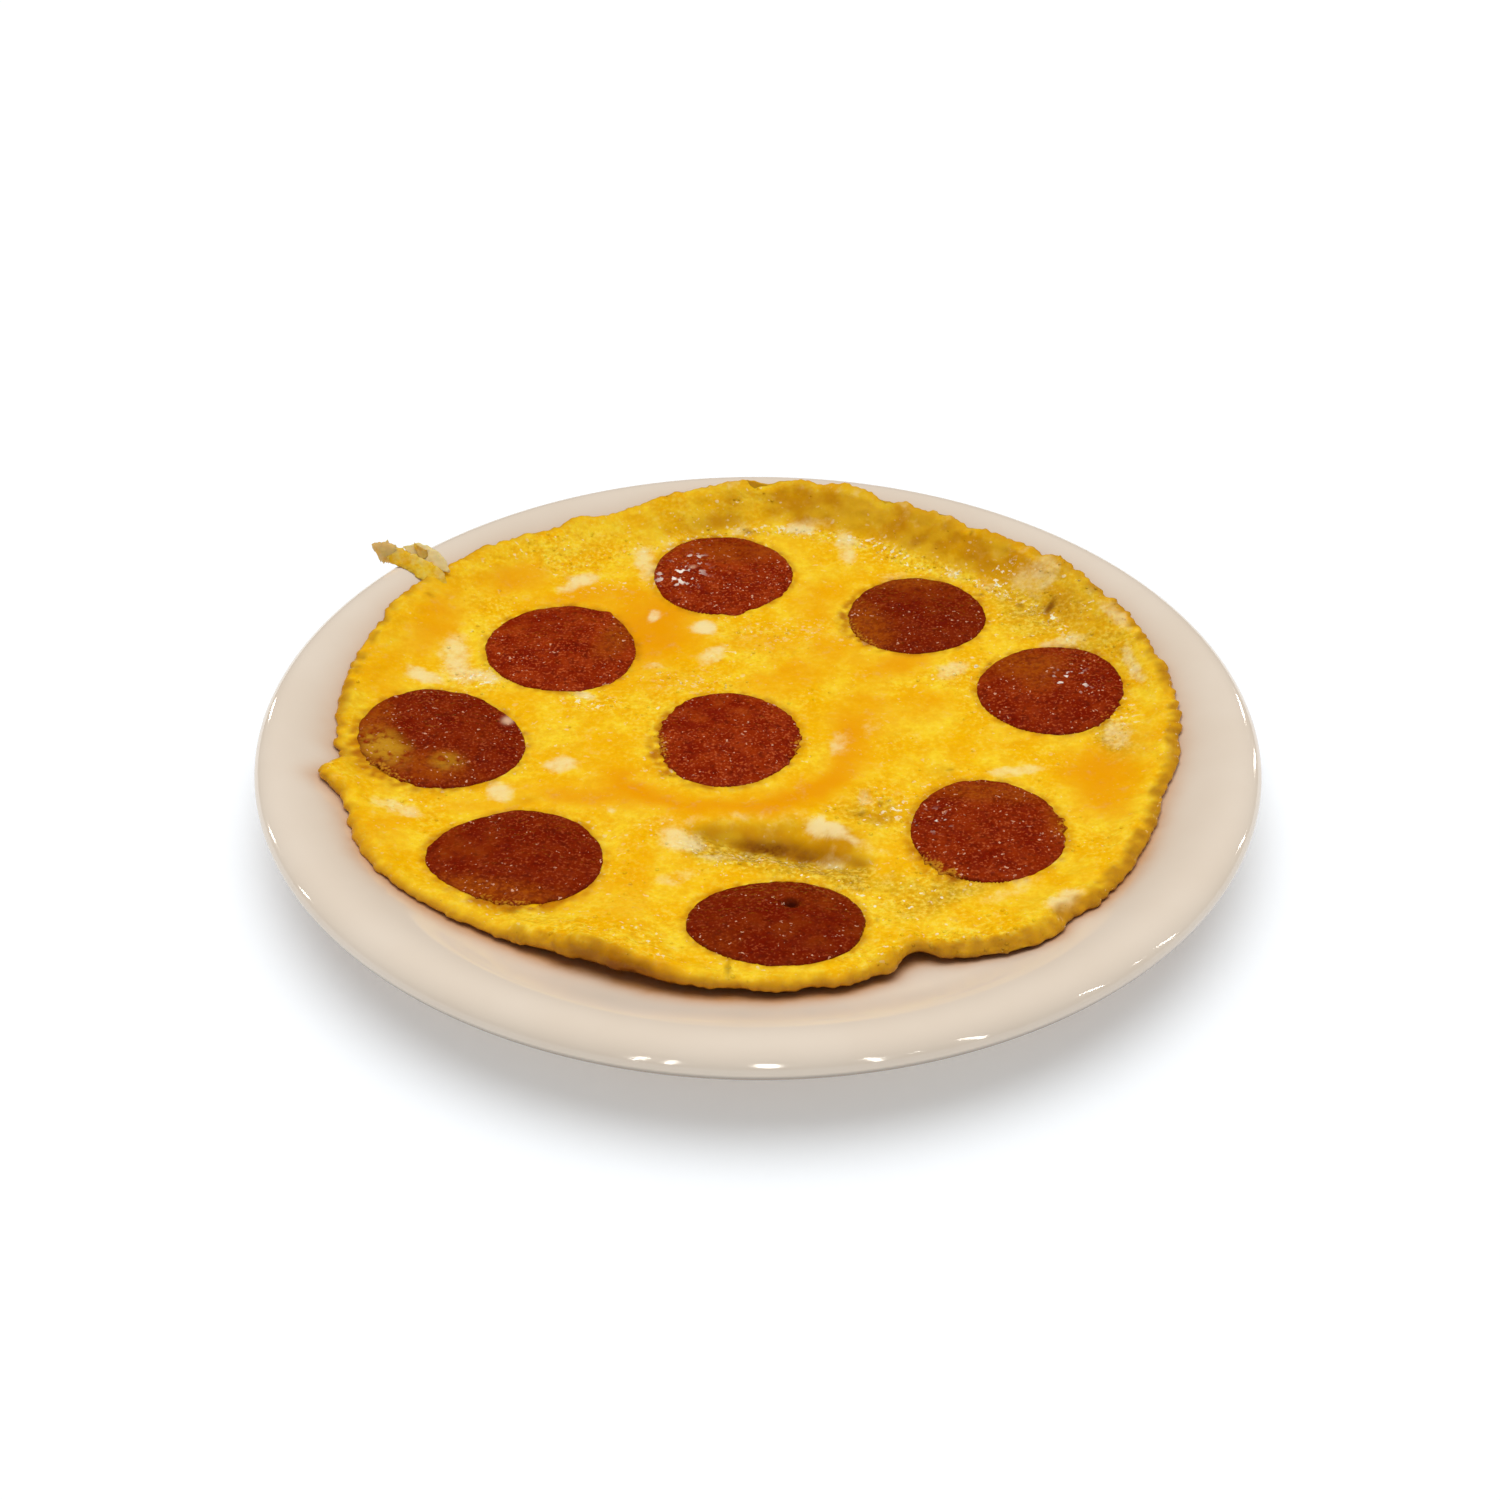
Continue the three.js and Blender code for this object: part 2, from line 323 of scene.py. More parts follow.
plate = {
    "radius": plateHigh[0],
    "height": plateHigh[2],
    "wall": 4.5,
    "wellFloor": 7.0,        # upper face of the flat middle
    "wellRadius": 66.0,
    "wellCurve": 0.0051,
    "rimStart": 113.0,
    "rimLevel": 17.9,
    "rimSlope": 0.27,
    "vergeBlend": 1.2,
    "lipStart": 120.0,
    "lipRound": 3.6,          # under the lip
    "crown": (5.4, 4.0),      # how far the lip's top lies inside its widest line, and above it
    "topRoom": 0.1,           # left free under the CAD plate's height
    "lipEnd": 106,            # radius where the lip has run out into the rim
    # where oil and painted contact shade spread out from under the egg: angle, how much, spread
    "oilAndShadeSides": [(250, 1, 60), (308, 0.8, 32), (345, 0.15, 40)],
    "foot": [(0, 2.5), (40, 2.5), (66.5, 2.4), (68.2, 1.8), (69.2, 0.5), (70, 0.0), (72.8, 0.0),
             (74, 0.5), (75, 1.6), (76.5, 2.3)],
    "segments": 320,
    # oil, also laid as painted contact shade and a painted reflection of the egg in the glaze
    "oil": "#c8822a",
    "glaze": "#e6d6c3",
    "warmGlaze": "#e9dac8",
    "bareClay": "#d6c4ab",
    "paintedLipShade": "#6f6255",     # painted shade, where the lip turns under
}


def plateTop(radius):  # upper face of the plate, inside its lip
    wall = plate["wellFloor"] + plate["wellCurve"] * np.maximum(0, radius - plate["wellRadius"]) ** 2
    rim = plate["rimLevel"] + plate["rimSlope"] * (radius - plate["rimStart"])
    share = clamp01(0.5 + 0.5 * (rim - wall) / plate["vergeBlend"])
    return mixed(rim, wall, share) - plate["vergeBlend"] * share * (1 - share)


def lipLevel():  # height of the lip's widest line
    return plate["height"] - plate["topRoom"] - plate["crown"][1]


def easedRun(start, end, slopes, count):  # a smooth run between two points of the profile, with its end slopes
    t = np.linspace(0, 1, count)
    run = end[0] - start[0]
    height = (2 * t ** 3 - 3 * t ** 2 + 1) * start[1] + (t ** 3 - 2 * t ** 2 + t) * run * slopes[0]
    height += (3 * t ** 2 - 2 * t ** 3) * end[1] + (t ** 3 - t ** 2) * run * slopes[1]
    return list(zip(start[0] + t * run, height))


def plateProfile():  # radius and height from the middle of the underside, round the lip, to the middle of the face
    inward, upward = plate["crown"]
    level = lipLevel()
    points = list(plate["foot"])
    points += [(r, plateTop(r) - plate["wall"]) for r in np.linspace(88, 118, 11)]
    for angle in np.linspace(-64, 95, 34):
        turn = math.radians(angle)
        across, rise = (inward, upward) if angle > 0 else (plate["lipRound"], plate["lipRound"])
        points.append((plate["radius"] - across * (1 - math.cos(turn)), level + rise * math.sin(turn)))
    end = plate["lipEnd"]
    points += easedRun(points[-1], (end, plateTop(end)), (0.06, 0.415), 26)[1:]
    points += [(r, plateTop(r)) for r in np.linspace(end - 1, 66, 40)]
    points += [(r, plate["wellFloor"]) for r in (60, 50, 38, 24, 10, 0)]
    return np.array(points)


def glazeFinish():
    finish = Finish("creamGlaze", {"Specular IOR Level": 0.5})
    cloudy = finish.noise(26, 3)
    colour = finish.blend(finish.ramp(cloudy, 0.3, 0.72), tone(plate["glaze"]), tone(plate["warmGlaze"]))
    # oil, with painted contact shade and a painted reflection of the egg, next to its edge
    oil = finish.mask("oil") * (0.7 + 0.3 * finish.noise(3, 2))
    colour = finish.blend(oil, colour, tone(plate["oil"]))
    bare = finish.mask("bare")
    colour = finish.blend(bare, colour, tone(plate["bareClay"]))
    # painted shade where the lip turns under
    colour = finish.blend(finish.mask("turnedUnder") * 0.7, colour, tone(plate["paintedLipShade"]))
    rough = 0.06 + 0.03 * finish.ramp(finish.noise(9, 3), 0.35, 0.8) + 0.5 * bare
    return finish.set(Base_Color=colour, Roughness=rough, Normal=finish.bump(finish.noise(34, 1), 0.25, 0.3))


def makePlate():
    profile = plateProfile()
    segments = plate["segments"]
    turn = np.arange(segments) * 2 * math.pi / segments
    rings = profile[1:-1]
    points = [[0, 0, profile[0][1]], [0, 0, profile[-1][1]]]
    for radius, height in rings:
        points += np.stack([radius * np.cos(turn), radius * np.sin(turn), np.full(segments, height)], 1).tolist()
    faces = []
    following = [(k + 1) % segments for k in range(segments)]
    for i in range(len(rings) - 1):
        low, high = 2 + i * segments, 2 + (i + 1) * segments
        faces += [(low + k, low + following[k], high + following[k], high + k) for k in range(segments)]
    last = 2 + (len(rings) - 1) * segments
    faces += [(0, 2 + following[k], 2 + k) for k in range(segments)]
    faces += [(1, last + k, last + following[k]) for k in range(segments)]
    made = makeMesh("dinner_plate", points, faces, glazeFinish())
    place = np.array(points)
    radius = np.hypot(place[:, 0], place[:, 1])
    bare = ((place[:, 2] < 0.6) & (radius > 60)).astype(float)
    addMask(made.data, "bare", bare)
    # the painted shade under the lip
    turned = ease((lipLevel() + 0.1 - place[:, 2]) / 1.5)
    addMask(made.data, "turnedUnder", turned * (radius > plate["lipStart"]))
    angle, share = onEgg(place[:, 0], place[:, 1])
    # oil with painted shade, fading out from the egg's edge
    beyond = (share - 1) * eggEdge(angle) - 0.6 * wander(place, 7, 3)
    beyond = np.maximum(0, beyond)
    oil = np.exp(-((beyond / 4.4) ** 2)) * 0.9 + np.exp(-((beyond / 9) ** 2)) * 0.05
    oil *= 0.1 + 0.9 * clamp01(sumOfHumps(plate["oilAndShadeSides"], angle))
    addMask(made.data, "oil", np.where((place[:, 2] > 7) & (radius > 60), oil, 0))
    glazed.objects.link(made)
    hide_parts("plate")
    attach(made, "root")
    print("plate:", len(made.data.polygons), "faces")


# Sausage slices: where each lies, read from its CAD node

sliceCrown = 0.8             # how far a slice's middle stands above the omelette's face, in mm


class Seat:  # a slice's middle, its plane and its rounded outline
    def __init__(self, number):
        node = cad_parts[f"sausage_slice_{number}"]
        co = np.array([v.co for v in node.data.vertices]) / mm
        co = np.unique(co.round(3), axis=0)
        self.number = number
        self.middle = co.mean(0)
        axes = np.linalg.svd(co - self.middle)[2]
        self.normal = axes[2] * np.sign(axes[2][2])
        self.east = np.cross([0, 1, 0], self.normal)
        self.east /= np.linalg.norm(self.east)
        self.north = np.cross(self.normal, self.east)
        rel = co - self.middle
        height = rel @ self.normal
        self.crown = height.max()
        self.base = height.min()
        self.middle = self.middle + self.normal * (self.crown - sliceCrown)
        x, y = rel @ self.east, rel @ self.north
        angle, radius = np.arctan2(y, x), np.hypot(x, y)
        ahead = np.abs(np.angle(np.exp(1j * (angle[:, None] - angle[None, :]))))
        widest = np.where(ahead < math.radians(9), radius[None, :], 0).max(1)
        rim = radius > 0.985 * widest
        self.waves = np.linalg.lstsq(self.basis(angle[rim]), radius[rim], rcond=None)[0]

    def basis(self, angle):
        columns = [np.ones_like(angle)]
        for k in (1, 2, 3, 4, 5):
            columns += [np.cos(k * angle), np.sin(k * angle)]
        return np.stack(columns, -1)

    def outline(self, angle):  # radius in mm
        return self.basis(angle) @ self.waves

    def onFace(self, points):  # place on the slice: radius as a share of its outline, and angle
        rel = points[:, :3] - self.middle
        x, y = rel @ self.east, rel @ self.north
        angle = np.arctan2(y, x)
        return np.hypot(x, y) / self.outline(angle), angle

    def faceLevel(self, points):  # height of the slice's plane over each point
        flat = (points[:, :2] - self.middle[:2]) @ self.normal[:2]
        return self.middle[2] - flat / self.normal[2]


seats = [Seat(number) for number in range(1, 10)]


# Omelette

omelette = {
    "centreY": 7.0,
    "radius": 111.3,
    "rest": 7.3,
    "bowlRise": 10.8,
    "bowlRadius": 112.0,
    "bowlPower": 4.6,
    "middleThickness": 5.4,
    "edgeThickness": 2.9,
    "taper": (0.55, 0.97),
    # angle, how far it stands out in mm, spread in degrees
    "edgeReach": [(268, -3, 26), (242, -3.5, 12), (251, -1.5, 4.5), (292, -7, 10), (290.5, -3.5, 3),
                  (303, 2, 7), (310.5, -2.5, 2.2), (338, -3, 13), (56, -4, 16), (112, -4, 9), (125, -2.5, 6),
                  (157, 2, 12), (194, -4, 2.5), (197, 5, 3.5), (216, 2, 9)],
    # angle, lift in mm, spread in degrees, share of the radius where the lift starts
    "edgeLift": [(66, 4.5, 44, 0.82), (250, 2, 9, 0.8), (290, 1.2, 4, 0.85), (198, 1.5, 5, 0.9),
                 (268, 0.8, 20, 0.85)],
    "settled": [(205, 0.9, 36), (335, 0.6, 34)],      # where the edge lies down on the plate: angle, share, spread
    # angle, how far the lower side reaches out under the face, spread
    "skirt": [(301, 4.8, 15), (326, 2.2, 14), (253, 2.6, 7), (275, 1.2, 10), (235, 1.8, 12), (212, 1.8, 14),
              (350, 2.0, 14), (15, 1.6, 14), (178, 1.2, 12)],
    "edgeBody": [(268, 1.0, 40), (250, 2.0, 9), (80, -0.5, 45)],
    # a rounded fold faces the front: how far it runs, how deep its foot lies, and the hollow in front of it
    "fold": {"middle": 5, "half": 25.5, "run": 11.5, "depth": 4.0, "hollow": 10, "crown": 0.7, "skew": 0.3},
    "grid": 280,
    "fluteRing": 108,        # radius in mm of the ring that the ripples are read along
    "raggedRing": 110,       # and of the one for the torn outline
    "yellow": "#fabd00",
    "deepYellow": "#eda404",
    "lemon": "#ffd42a",
    "lightGrain": "#ffdf4e",
    "darkGrain": "#dc9600",
    "yolk": "#f09f02",
    "yolkStreak": "#e48a00",
    "pale": "#f9e2a4",
    "ochre": "#cc8c02",
    "tan": "#dea81a",
    "olive": "#b98a14",
    "milky": "#e4bc48",
    "gold": "#cf921c",
    "juice": "#ac5606",
    # browned egg, also used for painted shade in the fold's crease and on its front wall
    "brown": "#7c4206",
    # painted highlights, laid into the colour as bright flecks
    "paintedShine": "#fff4cf",
    # angle, how crisp and browned the edge is, spread
    "crisp": [(306, 0.9, 16), (248, 0.6, 12), (345, 0.75, 42), (25, 0.75, 30), (172, 0.7, 20)],
    "crispEverywhere": 0.2,
    # smooth, deep yellow places
    "yolkPlaces": [
        (-32, 52, 17, 20, 20, 0.95), (-52, 66, 14, 4, 12, 0.7), (-71, 72, 12, 6, 35, 0.75),
        (-92, 46, 8, 17, -8, 0.7), (-101, 20, 5, 14, -5, 0.35), (17, 66, 9, 12, 0, 0.45),
        (38, 33, 12, 7, 30, 0.75), (22, 40, 8, 9, 0, 0.5), (9, 27, 14, 7, 20, 0.6),
        (89, -19, 11, 11, 0, 0.85), (86, -33, 8, 9, 20, 0.8), (99, -8, 6, 8, 0, 0.35),
        (-45, -28, 16, 5, -6, 0.8), (-66, -33, 12, 4, 10, 0.5), (-30, -68, 6, 16, -10, 0.4),
        (-44, -67, 10, 3.5, 25, 0.55), (48, 12, 8, 6, 0, 0.4), (-28, 24, 14, 6, 0, 0.3),
        (-20, -98, 12, 6, 10, 0.3), (30, 8, 9, 12, 0, 0.35), (0, 44, 12, 6, 0, 0.45),
        (-88, -52, 6, 10, 20, 0.3), (70, 0, 10, 8, 0, 0.3),
    ],
    "yolkRing": (-9, -4, 34, 29, -165, 38, 0.95),     # an arc round the middle slice
    # set white of egg, creamy and soft-edged
    "palePlaces": [
        (-15, 51, 4.2, 3.6, 0, 1.0), (-31, 57, 2.6, 3, 0, 0.8), (-12, 37.5, 4, 6, -20, 0.6),
        (-52, 74, 5.5, 3.6, 30, 0.8), (-57, 69, 4, 2.6, 20, 0.5), (-34.5, 84, 3.2, 9, 8, 0.6),
        (-84, 31, 4.6, 12, 10, 0.65), (-92, 21.5, 5.5, 3.2, -25, 0.75), (-77, 24, 5, 3, -30, 0.6),
        (-51, -14.5, 3.6, 3.2, 20, 0.75), (-65.5, -27, 4, 4.2, 40, 0.75), (22, -6, 2.6, 5, 0, 0.55),
        (54, 29, 6, 3.6, 40, 0.55), (66, -18.5, 7, 3, 10, 0.6), (-90, -37, 6, 3.2, -25, 0.6),
        (71, -73, 5, 3, 40, 0.75), (31, 3, 3, 4, 0, 0.3), (-28.5, 32, 4, 2, 0, 0.5),
        (-37, -34.3, 2, 1.4, 0, 0.6), (27, 91, 2.6, 7, 8, 0.6), (17, 103, 7, 2.4, 0, 0.45),
        (82, 68, 6.5, 7, 40, 0.5), (103, 24, 2.2, 9, 6, 0.6), (101, 45, 2.4, 9, 28, 0.6),
        (96, -4, 4, 7, 10, 0.55), (86, 39.5, 7, 2.6, 10, 0.55), (-19, -45, 7, 4.5, -15, 0.7),
        (17.5, -42, 7, 3, -30, 0.75), (-19, -60, 6, 3, 10, 0.4), (-46, 16.4, 4, 1.6, -30, 0.7),
        (27.5, -28.5, 2.6, 3, 0, 0.6), (60, -66, 8, 3, 35, 0.35), (-9, -52, 6, 2.4, -10, 0.4),
        (19, -52, 4, 3, 0, 0.5), (-98, 0, 2.4, 9, 0, 0.3), (40, 78, 5, 3, 0, 0.3),
    ],
    "arch": [(-31, -98.5, 13, 4.0, -22, 1.0)],      # a browned hollow under the front lip
    "crater": [(27.5, -28.5, 3.6, 3.9, 0, 1.1), (27.5, -28.5, 2.1, 2.4, 0, 2.3)],     # a burst bubble: ring, then pit
    "foldLine": [(-26, -38.6), (-12, -37.6), (0, -36.2), (9, -35.6), (17, -39.5), (25, -46.5), (32, -52)],
    # translucent, greener froth
    "olivePlaces": [
        (84, 56, 12, 15, 35, 0.75), (73, 66, 9, 8, 0, 0.35), (58, 80, 12, 6, -35, 0.15),
        (44, -68, 12, 5, 25, 0.75), (34, -62, 6, 4, 0, 0.5), (50, -58, 5, 5, 0, 0.45),
        (95, -6, 6, 9, 8, 0.6), (28, -34, 9, 6, 0, 0.45), (46, 98, 12, 5, -25, 0.3),
        (92, 36, 7, 6, 0, 0.5), (60, -88, 14, 4, 20, 0.35), (100, 36, 3.5, 16, 14, 0.4),
    ],
    # smooth browned places
    "ochrePlaces": [
        (-15, 104, 9, 5, 5, 0.75), (18, 110, 16, 5, -8, 0.85), (48, 100, 15, 6, -36, 0.8),
        (68, 86, 14, 5.5, -45, 0.4), (-2, 100, 3, 2, 0, 0.5), (-35, -94, 8, 4.5, -20, 0.6),
        (-29, -99, 7, 4, -40, 0.9), (8, -45, 17, 4.6, 0, 0.95), (20, -48, 7, 5, -30, 0.7),
        (28, -35, 5, 2.4, 10, 0.6), (-86, 82, 4, 4, 0, 0.3), (90, 70, 3, 10, 38, 0.25),
        (-60, -31, 5, 2, 20, 0.3), (48, -18, 4, 4, 0, 0.4), (-102, -20, 3, 5, 0, 0.3),
    ],
    "darkSpots": [
        (84.5, 56, 1.1, 3.2, -25, 1.0), (76, 59.5, 0.8, 1.0, 0, 0.7), (66, 67, 0.7, 0.7, 0, 0.8),
        (-3, 101, 1.0, 1.0, 0, 0.7), (26, -35, 1.6, 0.8, 30, 0.6), (31, -31, 0.8, 1.2, 0, 0.5),
        (64.5, 89.5, 0.7, 0.7, 0, 1.0), (48, -61, 2.2, 1.2, 30, 0.5), (33.5, -30, 0.6, 0.6, 0, 0.6),
        (-57, -76, 2.6, 1.0, -10, 0.5), (-7, -96, 0.6, 3.2, 0, 0.6), (24, -64.5, 1.4, 0.8, 0, 0.5),
        (50, -16.5, 1, 0.7, 0, 0.5), (-95, 57, 1.2, 0.9, 0, 0.4), (28, -76, 0.7, 0.9, 0, 0.4),
    ],
    # places of wetness, with painted highlights laid into the colour as bright specks
    "paintedGlintPlaces": [
        (-79, 23, 6, 3, -10, 1.0), (-45, 14, 7, 2.4, 0, 0.9), (8, 49, 12, 8, 15, 0.3), (30, 47, 6, 4, 0, 0.4),
        (7, -50, 15, 3.4, 0, 1.0), (34, -33, 6, 4, 0, 0.8), (-40, 72, 16, 3, 20, 0.8), (72, 72, 5, 6, -40, 0.9),
        (-22, 92, 10, 3, 0, 0.9), (60, 58, 5, 4, 0, 0.6), (98, 6, 3, 8, 0, 0.6), (-20, 24, 10, 5, 0, 0.4),
    ],
    # number of the slice, angle round it, how far its juice runs, spread
    "stains": {8: [(275, 2.4, 45)], 6: [(205, 2.4, 40)], 5: [(230, 2.6, 50)], 7: [(225, 1.6, 30)],
               2: [(190, 1.8, 40)]},
    "frothPlaces": [
        (-54, 86, 16, 8, 32, 0.9), (-76, 62, 10, 9, 40, 0.6), (-77, 24, 7, 5, -20, 0.9),
        (-44, 15, 8, 4, -20, 0.7), (4, 46, 16, 10, 20, 0.6), (-24, 26, 14, 6, 0, 0.6),
        (28, -32, 9, 9, 0, 0.8), (6, -52, 15, 4.5, 0, 1.0), (40, -66, 20, 8, 25, 1.0),
        (83, 58, 16, 18, 35, 0.9), (44, 88, 18, 8, -30, 0.7), (96, -3, 6, 12, 5, 1.0),
        (-30, -62, 8, 18, 0, 0.5), (54, 26, 10, 7, 0, 0.5), (0, 112, 26, 6, 0, 0.5),
        (-92, -35, 9, 6, 0, 0.4), (-40, -84, 26, 7, -25, 0.6), (45, -88, 26, 7, 12, 0.9),
        (101, 34, 5, 16, 15, 0.8), (-15, 20, 20, 6, 0, 0.4), (-60, 10, 10, 10, 0, 0.3),
    ],
}


def eggEdge(angle):
    return omelette["radius"] + sumOfHumps(omelette["edgeReach"], angle)


def onEgg(x, y):  # angle about the omelette's centre, and the share of the way to its edge
    angle = np.degrees(np.arctan2(y - omelette["centreY"], x)) % 360
    return angle, np.hypot(x, y - omelette["centreY"]) / eggEdge(angle)


def eggUnder(x, y):
    angle, share = onEgg(x, y)
    level = omelette["rest"] + omelette["bowlRise"] * (np.hypot(x, y) / omelette["bowlRadius"]) ** omelette["bowlPower"]
    for at, by, spread, start in omelette["edgeLift"]:
        level = level + by * hump(angle, at, spread) * clamp01((share - start) / (1 - start)) ** 1.4
    return level


def eggThickness(x, y):
    angle, share = onEgg(x, y)
    edge = omelette["edgeThickness"] + sumOfHumps(omelette["edgeBody"], angle)
    start, end = omelette["taper"]
    return mixed(omelette["middleThickness"], edge, ease((share - start) / (end - start)))


def nearLine(points, line, width):  # 1 on a broken line, fading to 0 beside it
    best = np.full(len(points), 1e9)
    for a, b in zip(line[:-1], line[1:]):
        a, b = np.array(a, float), np.array(b, float)
        t = clamp01(((points[:, :2] - a) @ (b - a)) / ((b - a) @ (b - a)))
        best = np.minimum(best, np.hypot(*(points[:, :2] - a - t[:, None] * (b - a)).T))
    return np.exp(-((best / width) ** 2))


def foldAhead(x, y):  # how far in front of the fold's crest a place is, and how open the hollow is there
    fold = omelette["fold"]
    line = np.array(omelette["foldLine"], float)
    flat = np.stack([x, y], 1)
    ahead = np.interp(x, line[:, 0], line[:, 1]) - y + 1.5 * wander(flat, 7.5, 19) + 0.8 * wander(flat, 3, 28)
    across = clamp01(1 - ((x - fold["middle"] + 1.5 * wander(flat, 9, 20)) / fold["half"]) ** 2)
    skew = 1 + fold["skew"] * np.tanh((x - fold["middle"]) / 12)
    return ahead, across, fold["run"] * (0.25 + 0.75 * across) * skew


def foldRelief(x, y):  # how far the fold and its hollow move the face up or down
    fold = omelette["fold"]
    ahead, across, run = foldAhead(x, y)
    drop = np.where(ahead < run, clamp01(ahead / run) ** 1.7, 1 - ease((ahead - run) / fold["hollow"]))
    return across * (fold["crown"] * np.exp(-(((ahead + 2.5) / 4.5) ** 2)) - fold["depth"] * drop)


def broadFlutes(angle, share):  # the ripples of the turned-up back
    return wander(ringAt(angle, omelette["fluteRing"]) + share[:, None] * 5, 8, 36)


def eggMasks(points, share, angle, level):  # where the omelette is which colour, and how frothy
    flat = points[:, :2]
    warp = drift(flat, 13, 5) * 3.2
    warp += drift(flat, 4.5, 7) * 1.3
    place = flat + warp
    small = flat + warp * 0.7
    small = small + drift(flat, 2.1, 26) * 0.7
    x, y, wide, long, start, end, strength = omelette["yolkRing"]
    turn = np.degrees(np.arctan2((place[:, 1] - y) / long, (place[:, 0] - x) / wide))
    away = np.hypot((place[:, 0] - x) / wide, (place[:, 1] - y) / long) - 1
    window = ease((turn - start) / 25) * ease((end - turn) / 30)
    ring = strength * np.exp(-((away / 0.16) ** 2)) * window
    yolk = 1 - (1 - patches(place, omelette["yolkPlaces"])) * (1 - clamp01(ring))
    yolk = clamp01(yolk + 0.22 * wander(place, 19, 9))
    pale = patches(small, omelette["palePlaces"], 2.2)
    line = omelette["foldLine"]
    pale = clamp01(pale + 0.45 * nearLine(small, line, 1.6) * (0.6 + 0.6 * wander(small, 5, 16)))
    ochre = patches(place, omelette["ochrePlaces"])
    olive = patches(place, omelette["olivePlaces"])
    froth = patches(place, omelette["frothPlaces"], 1.2)
    froth = clamp01(froth + 0.16 + 0.5 * wander(place, 18, 12) - 0.8 * yolk)
    glints = clamp01(patches(place, omelette["paintedGlintPlaces"]))
    dark = patches(small * 0.4 + flat * 0.6, omelette["darkSpots"], 1.3)
    ahead, across, run = foldAhead(points[:, 0], points[:, 1])
    front = ease(across * 2.0) * ease((ahead + 1) / 6)
    floorPart = ease((ahead - run + 0.6) / 1.6)
    wall = front * (1 - floorPart)
    hollow = front * floorPart * (1 - ease((ahead - run - 6) / 8))
    # painted shade: darker along the fold's foot, the crease
    crease = across * np.exp(-(((ahead - run + 1.4) / 2.4) ** 2)) * clamp01(0.55 + wander(points, 8, 46))
    # the fold's front wall is browned ochre, laid deeper here as painted shade
    ochre = clamp01(ochre * (1 - front) + wall * clamp01(0.9 + 0.5 * wander(place, 9, 47)))
    olive = clamp01(olive + 0.95 * hollow)
    froth = clamp01(froth * (1 - wall) + hollow)
    yolk = clamp01(yolk * (1 - front))
    # painted shade down the fold's front wall and in a spot at its foot, carried in dark and so into the brown mask
    shade = wall * ease((ahead - 0.4 * run) / (0.5 * run + 0.1)) * clamp01(0.75 + 0.9 * wander(points, 7, 48))
    dark = clamp01(dark + 0.6 * crease + 0.42 * shade + 0.5 * wall * patch(points, (4, -46, 3.5, 2.2, 0, 1.0)))
    band = hump(angle, 62, 38) * ease((share - 0.845) / 0.05)
    crest = band * ease((share - 0.962) / 0.014)
    foot = hump(angle, 66, 42) * np.exp(-(((share - 0.85) / 0.016) ** 2))
    flute = broadFlutes(angle, share)
    ochre = clamp01(ochre + band * (0.9 + 0.8 * flute) - 0.8 * crest)
    dark = clamp01(dark + 0.07 * band * clamp01(1.6 * flute) * (1 - crest))
    froth = clamp01(froth * (1 - 0.7 * band) + foot)
    yolk = clamp01(yolk * (1 - band))
    pale = clamp01(pale + foot * clamp01(1.6 * wander(place, 8, 17)) + 0.5 * crest * clamp01(wander(place, 6, 18) * 2))
    side = ease((0.96 - level) / 0.36)
    edgeLine = ease((share - 0.968) / 0.02) * clamp01(0.55 + wander(points, 3.2, 15))
    crisp = clamp01(sumOfHumps(omelette["crisp"], angle) + omelette["crispEverywhere"])
    gold = clamp01(side * 0.95 + edgeLine * crisp * (1 - 0.6 * crest))
    lowerSide = (0.3 + 0.5 * hump(angle, 275, 30)) * ease((0.32 - level) / 0.3)
    # brown mask: browned underside and crisp edge, with the painted shade from dark
    brown = clamp01(dark + lowerSide + 0.45 * edgeLine * crisp * (1 - crest))
    arch = patches(points[:, :2], omelette["arch"], 1.3) * clamp01(side + ease((share - 0.945) / 0.02))
    return {
        "yolk": yolk,
        "pale": 0.85 * pale * (1 - 0.5 * dark),
        "ochre": ochre,
        "olive": olive,
        "froth": froth,
        "gold": gold * (1 - 0.7 * arch),
        "brown": clamp01(brown + 0.45 * arch),
        "juice": 0.9 * arch,
        # painted highlights, also along the foot of the turned-up back
        "glints": clamp01(glints + 0.9 * foot) * (1 - wall),
    }


